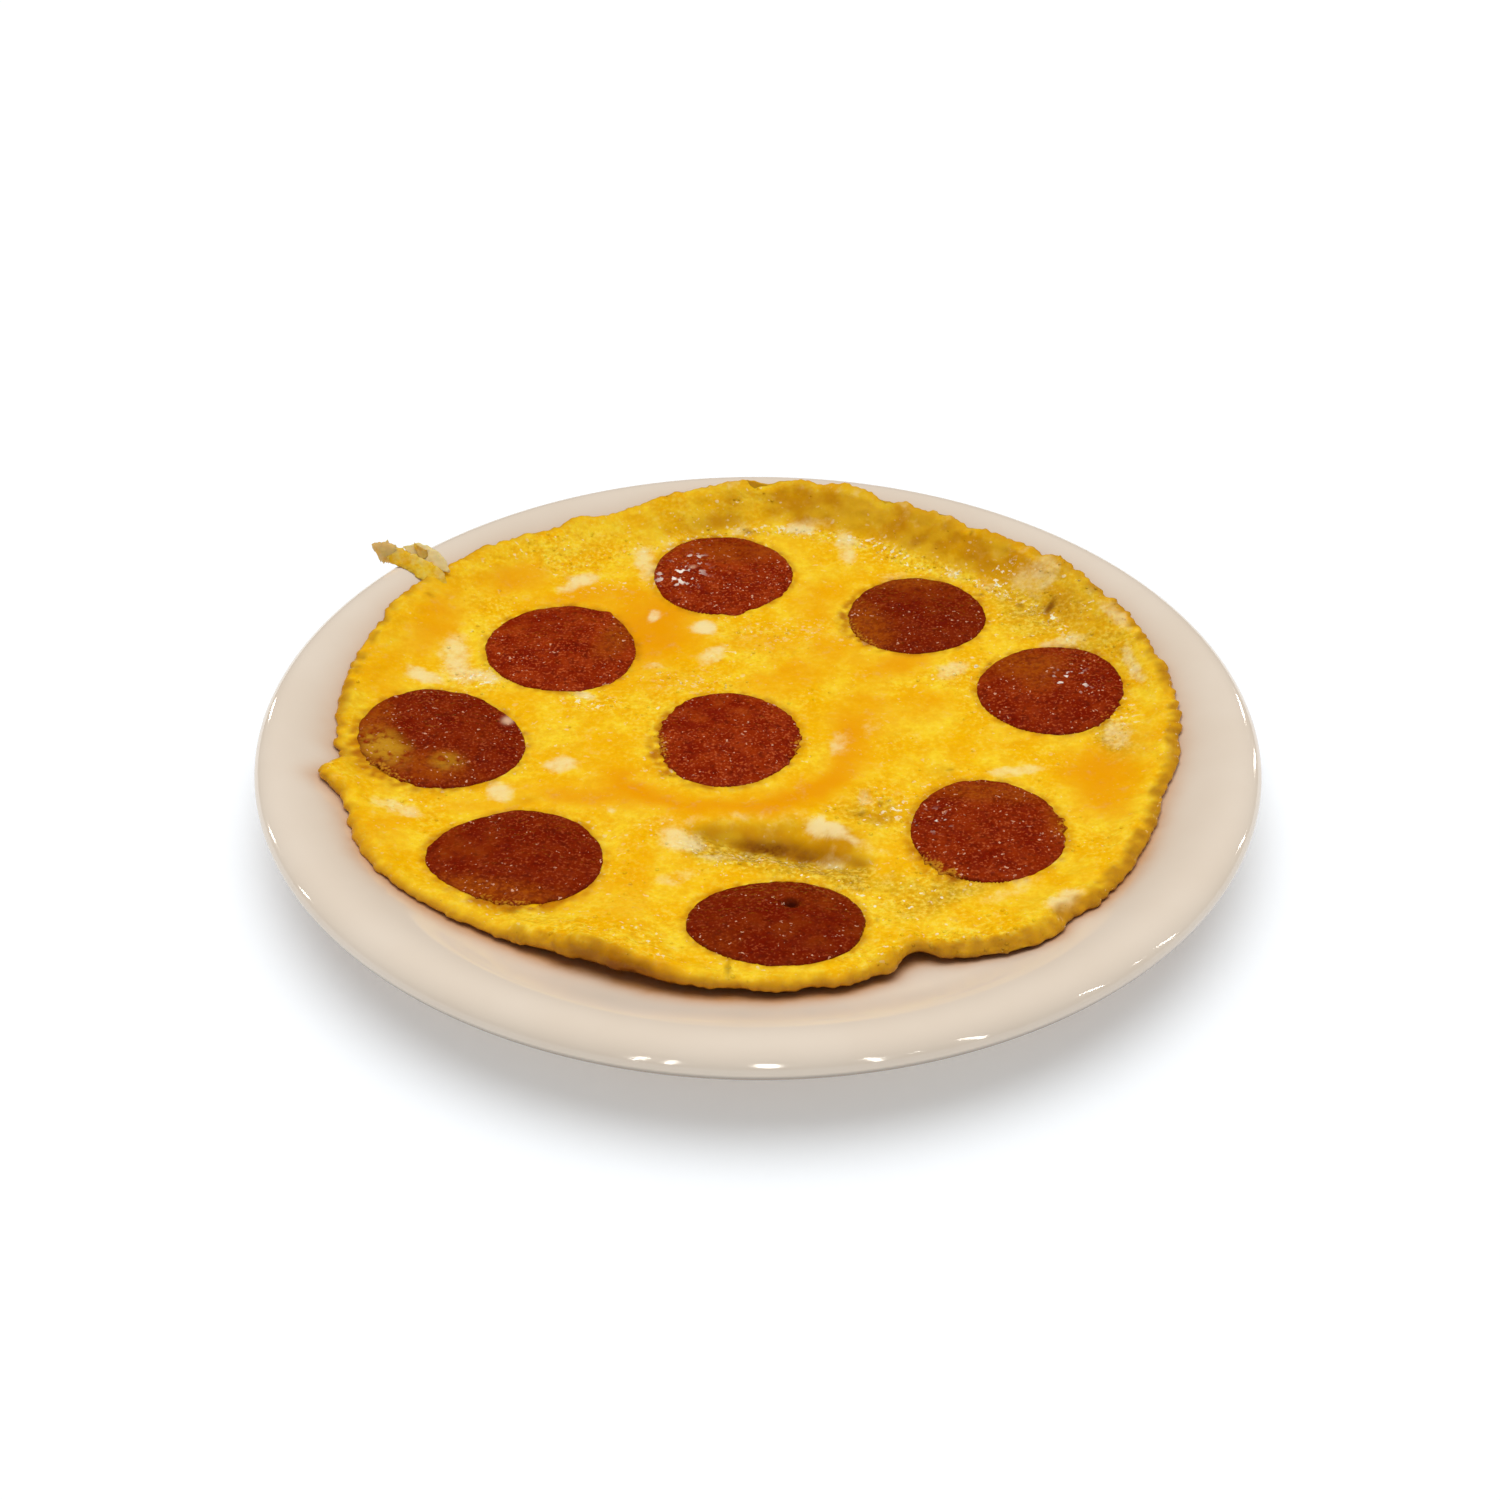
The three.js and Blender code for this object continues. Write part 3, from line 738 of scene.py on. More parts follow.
def eggFinish():
    finish = Finish("cookedEgg", {
        "Specular IOR Level": 0.2,
        "Subsurface Weight": 0.2,
        "Subsurface Radius": (1.0, 0.5, 0.1),
        "Subsurface Scale": 0.003,
    })
    yolk, pale, ochre, gold = (finish.mask(name) for name in ("yolk", "pale", "ochre", "gold"))
    olive, froth, brown, juice = (finish.mask(name) for name in ("olive", "froth", "brown", "juice"))
    cloud, streak = finish.noise(10, 3), finish.noise(3.6, 3, 0.6)
    grain = finish.noise(1.25, 3, 0.6)
    curd = finish.cells(1.7)
    egg = omelette
    finish.colour = finish.blend(finish.ramp(cloud, 0.36, 0.66), tone(egg["yellow"]), tone(egg["lemon"]))
    finish.coat(finish.ramp(streak, 0.58, 0.38) * 0.35, egg["deepYellow"])
    dry = 1 - 0.8 * yolk
    finish.coat(dry * (0.2 + 0.75 * froth) * finish.ramp(grain, 0.5, 0.66), egg["lightGrain"])
    finish.coat(dry * (0.08 + 0.45 * froth) * finish.ramp(grain, 0.48, 0.34), egg["darkGrain"])
    finish.coat(yolk * (1 - 0.3 * froth), egg["yolk"])
    finish.coat(yolk * finish.ramp(streak, 0.5, 0.75) * 0.5, egg["yolkStreak"])
    green = finish.blend(finish.ramp(grain, 0.42, 0.66), tone(egg["olive"]), tone(egg["milky"]))
    finish.colour = finish.blend(olive * (0.5 + 0.6 * finish.ramp(streak, 0.35, 0.65)), finish.colour, green)
    tan = finish.blend(finish.ramp(cloud, 0.4, 0.62), tone(egg["ochre"]), tone(egg["tan"]))
    finish.colour = finish.blend(ochre * (0.9 + 0.2 * streak), finish.colour, tan)
    broken = finish.ramp(pale + 1.1 * streak + 0.4 * grain, 0.78, 1.5)
    finish.coat(broken * (0.45 + 0.55 * pale), egg["pale"])
    # painted highlights: bright flecks over the froth and in the listed places of wetness
    paintedShine = finish.flecks(1.5, 7) * (0.15 + 0.85 * froth) + finish.flecks(2.6, 9, 0.69) * (0.1 + froth)
    paintedShine = paintedShine + finish.mask("glints") * finish.ramp(finish.noise(1.7, 2, 0.6), 0.58, 0.64)
    finish.coat(paintedShine * (1 - gold) * (1 - 0.85 * yolk), egg["paintedShine"])
    finish.coat(gold * (0.55 + 0.6 * grain), egg["gold"])
    finish.coat(juice * (0.5 + 0.6 * streak), egg["juice"])
    finish.coat(brown * (0.55 + 0.7 * grain), egg["brown"])
    lumps = finish.noise(1.3, 0.5)
    relief = froth * (finish.ramp(curd, 0.7, 0.1) * 0.5 + 0.9 * lumps) + dry * 0.3 * lumps
    rough = 0.22 - 0.1 * finish.ramp(finish.noise(5, 2), 0.44, 0.56)
    return finish.set(Base_Color=finish.colour, Roughness=rough, Normal=finish.bump(relief, 0.32, 0.9))


def layUnderSlices(points, near):  # the egg meets each slice's rim, and dips out of sight under it
    juice = np.zeros(len(points))
    under = np.zeros(len(points))
    for seat in seats:
        share, angle = seat.onFace(points)
        radius = seat.outline(angle)
        outside = np.maximum(0, share - 1) * radius
        plane = seat.faceLevel(points)
        pull = np.exp(-((outside / 4.5) ** 2)) * near
        level = mixed(points[:, 2], np.minimum(points[:, 2], plane + 0.15) * 0.5 + 0.5 * (plane - 0.05), pull)
        dip = ease((0.985 - share) * radius / 1.6) * near
        points[:, 2] = mixed(level, plane - 1.7, dip)
        stain = sumOfHumps(omelette["stains"].get(seat.number, []), np.degrees(angle) % 360)
        juice = np.maximum(juice, np.exp(-((outside / (1.4 + 0.8 * stain)) ** 2)) * near * (1 + 0.4 * stain))
        under = np.maximum(under, ease((1.05 - share) / 0.1))
    return points, juice, under


def makeOmelette():
    seen = {}

    def wrap(unit):  # share of the way to the edge, and level: 1 on the face, 0 underneath
        radius = np.hypot(unit[:, 0], unit[:, 1])
        topShare, inner = 0.93, 0.965
        turn = clamp01((radius - topShare) / (1 - topShare)) * math.radians(168)
        share = np.where(radius < topShare, radius / topShare * inner, inner + (1 - inner) * np.sin(turn))
        return share, 0.5 + 0.5 * np.cos(turn)

    def skin(unit, share, level):
        angle = np.degrees(np.arctan2(unit[:, 1], unit[:, 0])) % 360
        rim = ringAt(angle, omelette["raggedRing"])
        ragged = 0.9 * wander(rim, 11, 21) + 0.65 * wander(rim, 4.2, 22) + 0.5 * wander(rim, 1.8, 24)
        ragged += hump(angle, 225, 40) * (0.3 * wander(rim, 3, 27) + 0.35 * wander(rim, 1.5, 28))
        ragged += hump(angle, 70, 50) * (1.3 * wander(rim, 9, 23) + 0.7 * wander(rim, 4.6, 25))
        skirt = sumOfHumps(omelette["skirt"], angle) * (1 - level)
        reach = eggEdge(angle) + (ragged + skirt) * ease((share - 0.82) / 0.18)
        x = share * reach * unit[:, 0] / np.maximum(np.hypot(*unit.T), 1e-9)
        y = share * reach * unit[:, 1] / np.maximum(np.hypot(*unit.T), 1e-9) + omelette["centreY"]
        relief = foldRelief(x, y)
        z = eggUnder(x, y) + level * eggThickness(x, y) + relief * ease(level * 2 - 0.5)
        settled = clamp01(sumOfHumps(omelette["settled"], angle)) * ease((share - 0.9) / 0.08) * (1 - level)
        z = z + settled * np.minimum(0, plateTop(np.hypot(x, y)) + 0.12 - z)
        return np.stack([x, y, z], 1), angle

    def placeUpper(unit):
        share, level = wrap(unit)
        points, angle = skin(unit, share, level)
        quads = discGrid(omelette["grid"])[1]
        normals = quadNormals(points, quads)
        masks = eggMasks(points, share, angle, level)
        edge = ease((share - 0.86) / 0.1)
        forward = hump(angle, 265, 55)
        back = hump(angle, 68, 44) * ease((share - 0.8) / 0.12)
        swell = 0.42 * wander(points, 27, 31) + 0.3 * wander(points, 11, 32) + 0.12 * wander(points, 4.2, 33)
        crinkle = forward * 0.9 * wander(points, 8.5, 34) + 0.4 * wander(points, 3.6, 35)
        swell += edge * (crinkle + 0.22 * wander(points, 1.9, 49))
        narrow = wander(ringAt(angle, omelette["fluteRing"]) + share[:, None] * 9, 4.4, 39)
        flutes = broadFlutes(angle, share) + 0.5 * narrow
        swell += patch(points, (-33, -93.5, 11, 2.4, -24, 0.9)) - 1.5 * patches(points[:, :2], omelette["arch"], 1.3)
        swell += back * (1.05 * flutes + 0.25 * wander(points, 4, 37))
        bead, own = beads(points, 2.3, 38)
        large, ownLarge = beads(points, 5.5, 40)
        domes = 0.34 * np.maximum(0, 1 - bead * 1.5) * own + 0.4 * np.maximum(0, 1 - large * 1.8) * ownLarge
        foamy = masks["froth"] * domes
        foamy += masks["froth"] * 0.12 * wander(points, 1.9, 41)
        raised, sunk = omelette["crater"]
        crater = patch(points, raised, 1) - patch(points, sunk, 1.4)
        flatTop = ease(level * 2 - 0.6)
        points = points + normals * (swell + (foamy + crater) * flatTop)[:, None]
        points, juice, under = layUnderSlices(points, flatTop)
        masks["juice"] = clamp01(masks["juice"] + 0.75 * juice * clamp01(0.55 + wander(points, 2.4, 42)))
        masks["foam"] = masks["froth"] ** 1.3 * flatTop * (1 - under)
        seen.update(masks)
        return points

    def placeLower(unit):
        share = np.hypot(unit[:, 0], unit[:, 1]) * 0.972
        points = skin(unit, share, np.zeros(len(unit)))[0]
        points[:, 2] += 0.18 * wander(points, 14, 51) + 0.1 * wander(points, 5, 52)
        return points

    points, faces, upperCount = closedPillow(omelette["grid"], placeUpper, placeLower)
    made = makeMesh("omelette_skin", points, faces, eggFinish())
    # the same masks on the lower side, which lies on the plate
    hidden = {"yolk": 0.2, "pale": 0.0, "ochre": 0.6, "olive": 0.0, "froth": 0.2, "gold": 0.7, "brown": 0.1,
              "juice": 0.0, "foam": 0.0, "glints": 0.0}
    lower = len(points) - upperCount
    for name, below in hidden.items():
        addMask(made.data, name, np.concatenate([seen[name], np.full(lower, below)]))
    print("omelette:", len(made.data.polygons), "faces")
    return made


# Froth on the omelette: small domes laid by Geometry Nodes

foam = {
    "density": 170000,        # bubbles for each square metre where the froth is thickest
    "smallest": 0.2,         # radius in mm
    "largest": 0.75,
    "seed": 11,
}


def foamTree(material):
    tree = bpy.data.node_groups.new("layBubbles", "GeometryNodeTree")
    face = tree.interface
    face.new_socket("Geometry", in_out="INPUT", socket_type="NodeSocketGeometry")
    for name in ("Density", "Smallest", "Largest"):
        face.new_socket(name, in_out="INPUT", socket_type="NodeSocketFloat")
    face.new_socket("Seed", in_out="INPUT", socket_type="NodeSocketInt")
    face.new_socket("Geometry", in_out="OUTPUT", socket_type="NodeSocketGeometry")

    def add(kind, settings=None, inputs=None):
        made = tree.nodes.new(kind)
        for key, value in (settings or {}).items():
            setattr(made, key, value)
        for key, value in (inputs or {}).items():
            if isinstance(value, bpy.types.NodeSocket):
                tree.links.new(value, made.inputs[key])
            else:
                made.inputs[key].default_value = value
        return made

    given = add("NodeGroupInput").outputs
    where = add("GeometryNodeInputNamedAttribute", {"data_type": "FLOAT"}, {"Name": "foam"}).outputs[0]
    thick = add("ShaderNodeMath", {"operation": "MULTIPLY"}, {0: where, 1: given["Density"]}).outputs[0]
    spread = add("GeometryNodeDistributePointsOnFaces", {}, {
        "Mesh": given["Geometry"], "Density": thick, "Seed": given["Seed"]})
    chance = add("FunctionNodeRandomValue", {"data_type": "FLOAT"}, {"Seed": given["Seed"]}).outputs[1]
    rare = add("ShaderNodeMath", {"operation": "POWER"}, {0: chance, 1: 3.0}).outputs[0]
    size = add("ShaderNodeMapRange", {}, {0: rare, 3: given["Smallest"], 4: given["Largest"]}).outputs[0]
    ball = add("GeometryNodeMeshUVSphere", {}, {"Segments": 7, "Rings": 4, "Radius": 1.0}).outputs["Mesh"]
    sink = add("ShaderNodeMath", {"operation": "MULTIPLY"}, {0: size, 1: -0.45}).outputs[0]
    down = add("ShaderNodeVectorMath", {"operation": "SCALE"}, {0: spread.outputs["Normal"], "Scale": sink}).outputs[0]
    lowered = add("GeometryNodeSetPosition", {}, {"Geometry": spread.outputs["Points"], "Offset": down}).outputs[0]
    laid = add("GeometryNodeInstanceOnPoints", {}, {
        "Points": lowered, "Instance": ball, "Rotation": spread.outputs["Rotation"], "Scale": size}).outputs[0]
    real = add("GeometryNodeRealizeInstances", {}, {"Geometry": laid}).outputs[0]
    soft = add("GeometryNodeSetShadeSmooth", {}, {"Geometry": real}).outputs[0]
    done = add("GeometryNodeSetMaterial", {}, {"Geometry": soft, "Material": material}).outputs[0]
    out = add("NodeGroupOutput")
    tree.links.new(done, out.inputs[0])
    return tree


def grow(tree, carrier, values, name):  # runs a tree on a copy of the carrier and keeps the result as a plain mesh
    worker = bpy.data.objects.new("worker", carrier.data.copy())
    scene.collection.objects.link(worker)
    modifier = worker.modifiers.new("grow", "NODES")
    modifier.node_group = tree
    for item in tree.interface.items_tree:
        if item.in_out == "INPUT" and item.name in values:
            modifier[item.identifier] = values[item.name]
    view = bpy.context.evaluated_depsgraph_get()
    mesh = bpy.data.meshes.new_from_object(worker.evaluated_get(view))
    worker.modifiers.remove(modifier)
    bpy.data.objects.remove(worker)
    mesh.name = name
    made = bpy.data.objects.new(name, mesh)
    scene.collection.objects.link(made)
    return made


def makeFoam(skin):
    values = {"Density": float(foam["density"]), "Smallest": foam["smallest"] * mm,
              "Largest": foam["largest"] * mm, "Seed": foam["seed"]}
    made = grow(foamTree(skin.data.materials[0]), skin, values, "egg_froth")
    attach(made, "root")
    print("froth:", sum(len(p.vertices) - 2 for p in made.data.polygons), "triangles")


# The torn shred that stands up from the omelette's edge

shred = {
    # each strip: places along its middle, its half widths and half thicknesses in mm, and how far it leans
    # at its start and its end in degrees
    "strips": [
        ([(-91.5, 62, 19.2), (-94.6, 64.6, 21.9), (-98.4, 67, 23.3), (-103, 69.8, 24.6), (-107.8, 72, 25.2),
          (-111, 73, 25.2)],
         [3.6, 3.3, 2.9, 2.6, 2.5, 1.4], [0.8, 0.5, 0.45, 0.5, 0.8, 0.6], 14, 52),
        ([(-105.6, 71.4, 24.4), (-108.2, 72.8, 25.0), (-110.6, 73.8, 25.3), (-112.6, 74.4, 25.2), (-113, 74.4, 24.4)],
         [1.6, 2.7, 3.1, 2.6, 1.0], [0.9, 1.4, 1.7, 1.4, 0.8], 62, 78),
        ([(-97.6, 70.6, 25.2), (-99.4, 71.8, 26.4), (-100.8, 73, 27.5), (-101.4, 74, 28.3)],
         [2.2, 1.2, 0.6, 0.2], [0.4, 0.4, 0.3, 0.2], 40, 40),
        ([(-90.5, 66.6, 22.6), (-94, 69, 24.2), (-97.5, 71.2, 25.4), (-101, 73, 26.2), (-105, 74.6, 26.4)],
         [1.4, 2.5, 2.7, 2.3, 1.0], [0.45, 0.4, 0.4, 0.4, 0.3], 38, 50),
    ],
    "around": 12,
    "steps": 26,
}


def strip(places, widths, depths, startLean, endLean, seed):  # a ragged, curling strip, closed at both ends
    count, around = shred["steps"], shred["around"]
    t = np.linspace(0, 1, count)
    key = np.linspace(0, 1, len(places))
    middle = np.stack([np.interp(t, key, [p[k] for p in places]) for k in range(3)], 1)
    for _ in range(3):
        middle[1:-1] = (middle[:-2] + 2 * middle[1:-1] + middle[2:]) / 4
    along = np.gradient(middle, axis=0)
    along /= np.linalg.norm(along, axis=1, keepdims=True)
    wide = np.cross(along, [0, 0, 1])
    wide /= np.linalg.norm(wide, axis=1, keepdims=True)
    up = np.cross(wide, along)
    points = []
    for i in range(count):
        turn = math.radians(startLean + (endLean - startLean) * t[i])
        side = wide[i] * math.cos(turn) + up[i] * math.sin(turn)
        over = up[i] * math.cos(turn) - wide[i] * math.sin(turn)
        turns = np.arange(around) / around * 2 * math.pi
        close = min(1, 4 * t[i] + 0.25, 4 * (1 - t[i]) + 0.2)
        tag = np.stack([np.cos(turns) * 3 + t[i] * 18, np.sin(turns) * 3, np.full(around, seed)], 1)
        ragged = 1 + 0.3 * wander(tag, 2.2, 71 + seed) + 0.25 * wander(tag, 0.9, 81 + seed)
        x = np.cos(turns) * np.interp(t[i], key, widths) * ragged * close
        y = np.sin(turns) * np.interp(t[i], key, depths) * close + 0.35 * np.cos(2 * turns) * close * 0.5
        points.append(middle[i] + x[:, None] * side + y[:, None] * over)
    points = np.concatenate(points + [middle[:1], middle[-1:]])
    faces = []
    for i in range(count - 1):
        for k in range(around):
            n = (k + 1) % around
            faces.append((i * around + k, i * around + n, (i + 1) * around + n, (i + 1) * around + k))
    first, last = count * around, count * around + 1
    for k in range(around):
        n = (k + 1) % around
        faces.append((first, n, k))
        faces.append((last, (count - 1) * around + k, (count - 1) * around + n))
    return points, faces, np.concatenate([np.repeat(t, around), [0, 1]])


def makeShred(material):
    points, faces, along, which = [], [], [], []
    for number, values in enumerate(shred["strips"]):
        made, quads, t = strip(*values, number)
        faces += [tuple(i + sum(len(p) for p in points) for i in face) for face in quads]
        points.append(made)
        along.append(t)
        which.append(np.full(len(made), number))
    points, along, which = np.concatenate(points), np.concatenate(along), np.concatenate(which)
    made = makeMesh("egg_shred", points, faces, material)
    rough = 0.5 + 0.5 * wander(points, 2.2, 75)
    addMask(made.data, "gold", np.choose(which, [0.1 + 0.3 * along, 0.45, 0.4, 0.06]))
    addMask(made.data, "brown", clamp01(np.choose(which, [0.1, 0.24, 0.3, 0.12]) * (0.1 + 1.4 * rough)))
    addMask(made.data, "pale", np.choose(which, [0.3, 0.7, 0.5, 1.0]) * clamp01(rough + 0.35))
    addMask(made.data, "froth", np.full(len(points), 0.5))
    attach(made, "root")
    print("shred:", len(made.data.polygons), "faces")


# Sausage slices

sausage = {
    "grid": 84,
    "meat": "#7e1803",
    "ruddy": "#9e3309",
    "deep": "#520f02",
    "fat": "#ae4414",
    "film": "#a34c0a",
    "eggFilm": "#c48a1c",
    "fatDot": "#dcae8c",
    "fineFat": "#c25c30",
    "rim": "#5e1602",
    "lappedEgg": "#c98a20",
    "pit": "#360b03",
    # pale flecks, partly fat and partly painted highlights
    "fatAndGlintFleck": "#dfa586",
    # white of the painted highlights in places of wetness
    "paintedWetShine": "#fff0e2",
    # for each slice: bumps on its outline (angle, mm, spread), ragged sides (angle, mm, spread),
    # films of egg and darker smooth places (x, y, half width, half length, turn, strength), pits and dots of fat
    1: {"bumps": [(283, 1.8, 7)], "ragged": [(320, 0.8, 40)], "smooth": [(4, 13, 17, 7, 0, 0.9)],
        "film": [(3, 12, 12, 6, -8, 0.6)],
        "wet": [(-13, -1, 7, 6, 30, 1.0), (-9, 7, 4, 3, 0, 0.8)], "dots": [(-9, 3, 1.1, 0.9, 0, 0.6)]},
    2: {"ragged": [(205, 1.0, 35)], "film": [(-15, -5, 7, 14, 20, 0.85), (0, 17, 15, 4, -4, 0.6)],
        "smooth": [(2, 10, 14, 8, 0, 0.6)], "lap": [(205, 0.8, 40)], "deep": 0.4},
    3: {"bumps": [(58, 1.3, 5)], "ragged": [(290, 0.7, 40)], "smooth": [(-6, 14, 16, 6, 15, 0.8)],
        "film": [(15, 5, 5, 10, -20, 0.75)]},
    4: {"ragged": [(320, 1.6, 24)], "film": [(-6, 12, 11, 7, -15, 0.9), (-3, 3, 4, 5, 0, 0.6)],
        "smooth": [(-10, 12, 10, 8, 0, 0.6)], "lap": [(318, 0.6, 30)],
        "wet": [(6, 2, 5, 5, 0, 1.0)], "deep": 0.15},
    5: {"ragged": [(235, 1.5, 35)],
        "film": [(2, -12, 6, 6, 20, 0.8), (-18, 5, 5, 9, 0, 0.7), (-4, -14, 16, 5, -15, 0.5)],
        "egg": [(-14, -7, 5.5, 8, 35, 1.0), (3, -11, 4, 3.5, 0, 0.6)], "dots": [(16.5, 10.5, 1.6, 2.2, -20, 1.0)],
        "lap": [(235, 0.8, 35)], "deep": 0.3},
    6: {"ragged": [(195, 1.4, 45), (345, 1.2, 35)], "smooth": [(-4, 13, 12, 8, 0, 0.7)],
        "lap": [(190, 0.9, 35), (350, 0.8, 25)]},
    7: {"ragged": [(228, 2.2, 28), (0, 1.3, 20)], "film": [(2, 15, 15, 4.5, -8, 0.7), (19, 2, 4, 9, 0, 0.6)],
        "lap": [(228, 1.0, 26), (5, 0.8, 22)], "wet": [(-13, 4, 4, 4, 0, 0.8)], "deep": 0.15},
    8: {"ragged": [(275, 1.2, 40)], "film": [(-4, -14.5, 18, 4.5, -8, 0.9)], "smooth": [(-13, 2, 8, 8, 0, 0.7)],
        "lap": [(265, 0.8, 35)], "deep": 0.35},
    9: {"film": [(9, 10, 8, 5, -10, 0.2), (-14, -8, 7, 5, 20, 0.2)], "pits": [(3.4, 7.4, 2.0, 1.8, 0, 1.0)],
        "smooth": [(8, -2, 14, 10, 0, 0.6)], "deep": 0.45},
}


def sausageFinish():
    finish = Finish("cutSausage", {
        "Specular IOR Level": 0.22,
        "Subsurface Weight": 0.04,
        "Subsurface Radius": (1.0, 0.2, 0.05),
        "Subsurface Scale": 0.0015,
    })
    smoothPart, film, eggFilm = finish.mask("smooth"), finish.mask("film"), finish.mask("egg")
    dots, pits, rim, lap = finish.mask("dots"), finish.mask("pits"), finish.mask("rim"), finish.mask("lap")
    grain, fine, cloud = finish.noise(1.5, 3, 0.6), finish.noise(0.75, 1), finish.noise(7, 3)
    grainy = 1 - 0.8 * smoothPart
    finish.colour = finish.blend(finish.ramp(cloud, 0.3, 0.75), tone(sausage["meat"]), tone(sausage["ruddy"]))
    finish.coat(finish.ramp(grain, 0.5, 0.3) * 0.55, sausage["deep"])
    finish.coat(grainy * finish.ramp(grain, 0.56, 0.72) * 0.6, sausage["fat"])
    finish.coat(grainy * finish.ramp(fine, 0.55, 0.7) * 0.62, sausage["fineFat"])
    finish.coat(finish.mask("deep") * (0.5 + cloud), sausage["deep"])
    finish.coat(smoothPart * finish.ramp(cloud, 0.42, 0.7) * 0.35, sausage["film"])
    speckled = 0.2 + 0.5 * cloud + 0.6 * finish.ramp(grain, 0.4, 0.62)
    finish.coat(film * speckled, sausage["film"])
    finish.coat(eggFilm * finish.ramp(finish.noise(2.6, 3), 0.3, 0.55), sausage["eggFilm"])
    finish.coat(dots, sausage["fatDot"])
    finish.coat(rim * 0.5 * grain, sausage["rim"])
    finish.coat(0.8 * finish.ramp(0.7 * fine + 0.55 * lap, 0.66, 0.9), sausage["lappedEgg"])
    finish.coat(pits, sausage["pit"])
    wet = finish.ramp(finish.noise(2.4, 2), 0.58, 0.64) * finish.mask("wet")
    # pale flecks: fat, and painted highlights
    finish.coat(finish.flecks(1.1, 6, 0.66) * (0.25 + 0.65 * grainy), sausage["fatAndGlintFleck"])
    # painted highlights: white specks in the listed places of wetness
    finish.coat(wet, sausage["paintedWetShine"])
    relief = finish.noise(1.15, 0.5) * (0.35 + 0.65 * grainy) + 0.6 * finish.noise(3.2, 1)
    rough = 0.2 - 0.1 * finish.ramp(finish.noise(3, 2), 0.42, 0.55)
    return finish.set(Base_Color=finish.colour, Roughness=rough, Normal=finish.bump(relief, 0.5, 0.9))


def makeSlice(seat, material):
    traits = sausage[seat.number]
    seen = {}

    def place(unit, upper):
        radius = np.hypot(unit[:, 0], unit[:, 1])
        angle = np.arctan2(unit[:, 1], unit[:, 0])
        degrees = np.degrees(angle) % 360
        ring = np.stack([np.cos(angle), np.sin(angle)], 1) * 20 + seat.number * 90
        outline = seat.outline(angle) + sumOfHumps(traits.get("bumps", []), degrees)
        teeth = wander(ring, 2.6, 61) + 0.7 * wander(ring, 1.2, 62)
        outline = outline + teeth * (0.22 + sumOfHumps(traits.get("ragged", []), degrees))
        outline = outline + 0.4 * wander(ring, 9, 63) + 0.22 * wander(ring, 4, 69)
        if upper:
            turn = clamp01((radius - 0.9) / 0.1)
            share = np.where(radius < 0.9, radius / 0.9 * 0.972, 0.972 + 0.028 * np.sin(turn * math.pi / 2))
            height = 0.16 + 0.62 * (1 - np.minimum(share, 0.96) ** 2 / 0.96 ** 2)
            height = np.where(turn > 0, 0.16 - 2.26 * turn ** 1.6, height)
        else:
            share, height = radius, np.full(len(unit), seat.base - seat.crown + sliceCrown)
        x = share * outline * np.cos(angle)
        y = share * outline * np.sin(angle)
        flat = np.stack([x, y], 1)
        shifted = flat + seat.number * 53
        if upper:
            body = ease((0.96 - share) / 0.1)
            height = height + 0.16 * wander(shifted, 9, 64) + 0.07 * wander(shifted, 2.4, 65) * body
            warp = flat + 1.2 * drift(shifted, 5, 66)
            for name in ("film", "egg", "smooth", "dots", "pits"):
                seen[name] = patches(warp if name in ("film", "egg", "smooth") else flat, traits.get(name, []))
            height = height - 1.1 * seen["pits"] + 0.25 * seen["egg"] + 0.1 * seen["film"] - 0.15 * seen["dots"]
            seen["rim"] = ease((share - 0.93) / 0.04) * (0.6 + 0.4 * wander(shifted, 3, 68))
            # painted highlights in the listed places of wetness
            seen["wet"] = patches(flat, traits.get("wet", []))
            seen["deep"] = np.full(len(flat), traits.get("deep", 0.0))
            seen["lap"] = clamp01(sumOfHumps(traits.get("lap", []), degrees)) * ease((share - 0.72) / 0.26)
        return seat.middle + x[:, None] * seat.east + y[:, None] * seat.north + height[:, None] * seat.normal

    points, faces, upperCount = closedPillow(
        sausage["grid"], lambda unit: place(unit, True), lambda unit: place(unit, False))
    made = makeMesh(f"sausage_{seat.number}", points, faces, material)
    lower = len(points) - upperCount
    for name, values in seen.items():
        addMask(made.data, name, np.concatenate([values, np.zeros(lower)]))
    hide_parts(f"sausage_slice_{seat.number}")
    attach(made, "root")


# Light, floor and camera

studio = {
    "sky": 0.45,              # even light from all round
    "sun": 1.85,
    "sunHeight": 78,          # degrees above the floor, from behind
    "sunTurn": 4,
    "sunSoftness": 58,
    "floor": "#ecf0f4",
    "floorShade": "#eaeef2",
    "floorReach": 4000,
    "floorLevel": -0.05,      # just under the foot ring
    "floorGlow": 0.18,
    # far lamps, seen only as glints: turn from +Y towards +X, height, width and tallness in degrees, strength.
    # The food's lamps reach everything, the others only the plate
    "foodLamps": [(39, 16, 2.4, 3, 20), (-65, 14, 2.4, 3, 20), (100, 24, 2, 3, 20), (-158, 22, 2, 3, 20),
                  (150, 22, 2, 3, 20)],
    "lamps": [(39, 16, 2.4, 7, 24), (49, 12, 2.4, 7, 24), (66, 14, 2.2, 8, 24), (93, 20, 1.8, 14, 24),
              (138, 22, 1.8, 30, 30), (158, 20, 1.8, 30, 30), (178, 27, 4.2, 24, 32), (-164, 22, 1.6, 26, 26),
              (-158, 22, 1.6, 30, 30), (-80, 16, 2.2, 8, 22), (-65, 14, 2.2, 7, 22), (-41, 12, 2.4, 6, 24),
              (111, 26, 1.8, 16, 26)],
    "lampDistance": 1500,
    "lampColour": (1.0, 0.95, 0.86),
    "lens": 43.2,
    "sensor": 36,
    "cameraPlace": (0, -389.98, 292.46),
    "cameraDown": 36.207,
    "cameraTurn": 0.2957,
}


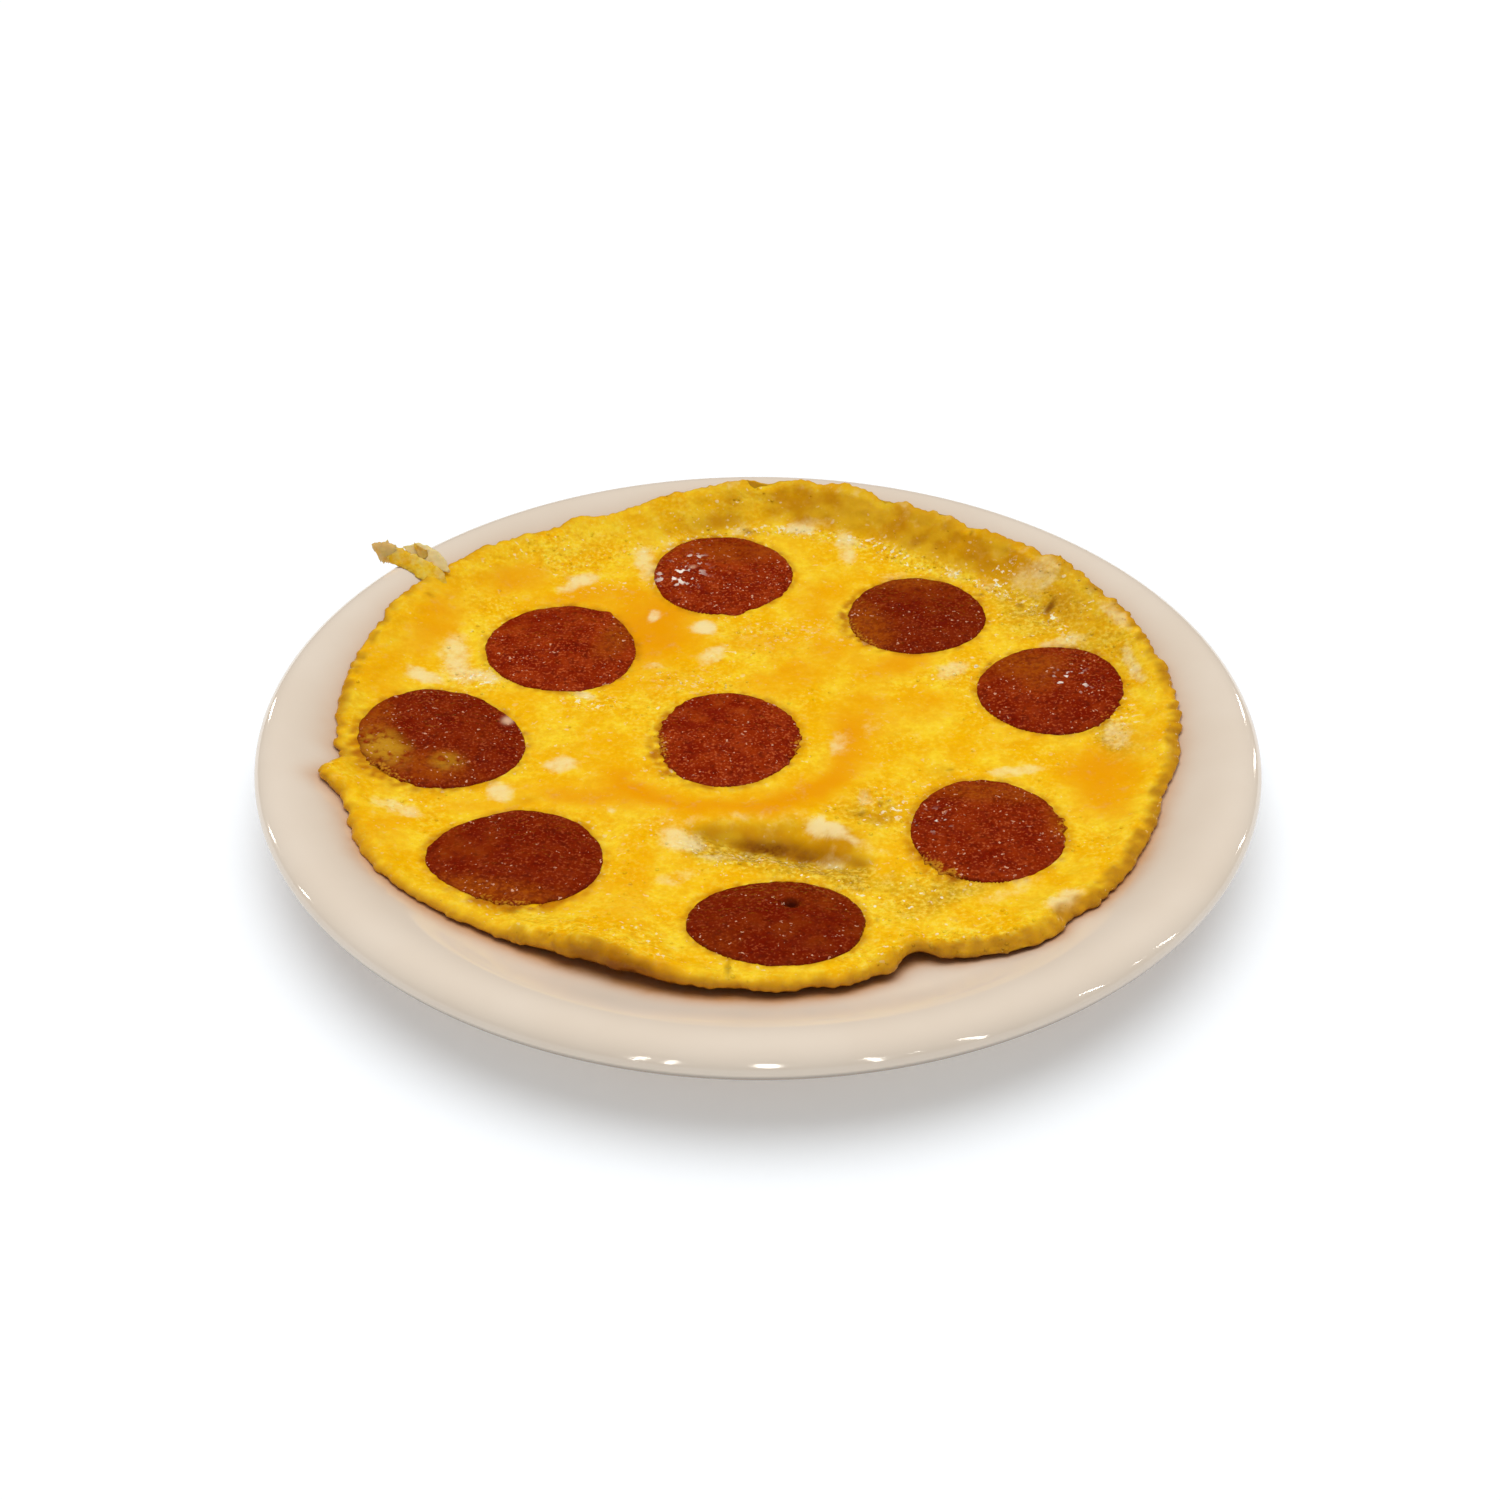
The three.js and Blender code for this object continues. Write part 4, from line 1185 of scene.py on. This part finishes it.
def addLamp(name, turn, height, width, tall, strength):
    away = studio["lampDistance"] * mm
    across, upward = [2 * away * math.tan(math.radians(angle / 2)) for angle in (width, tall)]
    lamp = bpy.data.lights.new(name, "AREA")
    lamp.shape = "ELLIPSE"
    lamp.size, lamp.size_y = across, upward
    lamp.energy = strength * math.pi * math.pi * across * upward / 4
    lamp.color = studio["lampColour"]
    made = bpy.data.objects.new(name, lamp)
    t, h = math.radians(turn), math.radians(height)
    made.location = Vector((math.sin(t) * math.cos(h), math.cos(t) * math.cos(h), math.sin(h))) * away
    made.rotation_euler = made.location.to_track_quat("Z", "Y").to_euler()
    made.visible_diffuse = False
    made.visible_camera = False
    scene.collection.objects.link(made)
    return made


def makeStudio():
    world = bpy.data.worlds.new("softRoom")
    world.use_nodes = True
    background = world.node_tree.nodes["Background"]
    background.inputs["Color"].default_value = (1.0, 1.0, 1.0, 1)
    background.inputs["Strength"].default_value = studio["sky"]
    world.cycles_visibility.glossy = False
    scene.world = world
    lamp = bpy.data.lights.new("wideLight", "SUN")
    lamp.energy = studio["sun"]
    lamp.angle = math.radians(studio["sunSoftness"])
    made = bpy.data.objects.new("wideLight", lamp)
    made.rotation_euler = (math.radians(-(90 - studio["sunHeight"])), 0, math.radians(studio["sunTurn"]))
    made.visible_glossy = False
    scene.collection.objects.link(made)
    for number, values in enumerate(studio["lamps"]):
        addLamp(f"lipLamp{number}", *values).light_linking.receiver_collection = glazed
    for number, values in enumerate(studio["foodLamps"]):
        addLamp(f"foodLamp{number}", *values)
    finish = Finish("paleFloor", {
        "Specular IOR Level": 0.0,
        "Roughness": 1.0,
        "Emission Color": (1, 1, 1, 1),
        "Emission Strength": studio["floorGlow"],
    })
    shade = finish.blend(finish.noise(60, 2), tone(studio["floor"]), tone(studio["floorShade"]))
    finish.set(Base_Color=shade)
    size, level = studio["floorReach"], studio["floorLevel"]
    corners = [(-size, -size, level), (size, -size, level), (size, size, level), (-size, size, level)]
    floor = makeMesh("floor", corners, [(0, 1, 2, 3)], finish.material, False)
    data = bpy.data.cameras.new("camera")
    data.lens = studio["lens"]
    data.sensor_width = studio["sensor"]
    data.clip_start, data.clip_end = 0.01, 50
    camera = bpy.data.objects.new("camera", data)
    camera.location = Vector(studio["cameraPlace"]) * mm
    camera.rotation_euler = (math.radians(90 - studio["cameraDown"]), 0, math.radians(studio["cameraTurn"]))
    scene.collection.objects.link(camera)
    scene.camera = camera
    scene.view_settings.view_transform = "Standard"
    print("studio ready")


makeStudio()
makePlate()
skin = makeOmelette()
makeFoam(skin)
makeShred(skin.data.materials[0])
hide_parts("omelette")
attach(skin, "root")
meat = sausageFinish()
for seat in seats:
    makeSlice(seat, meat)
print("slices:", len(seats))
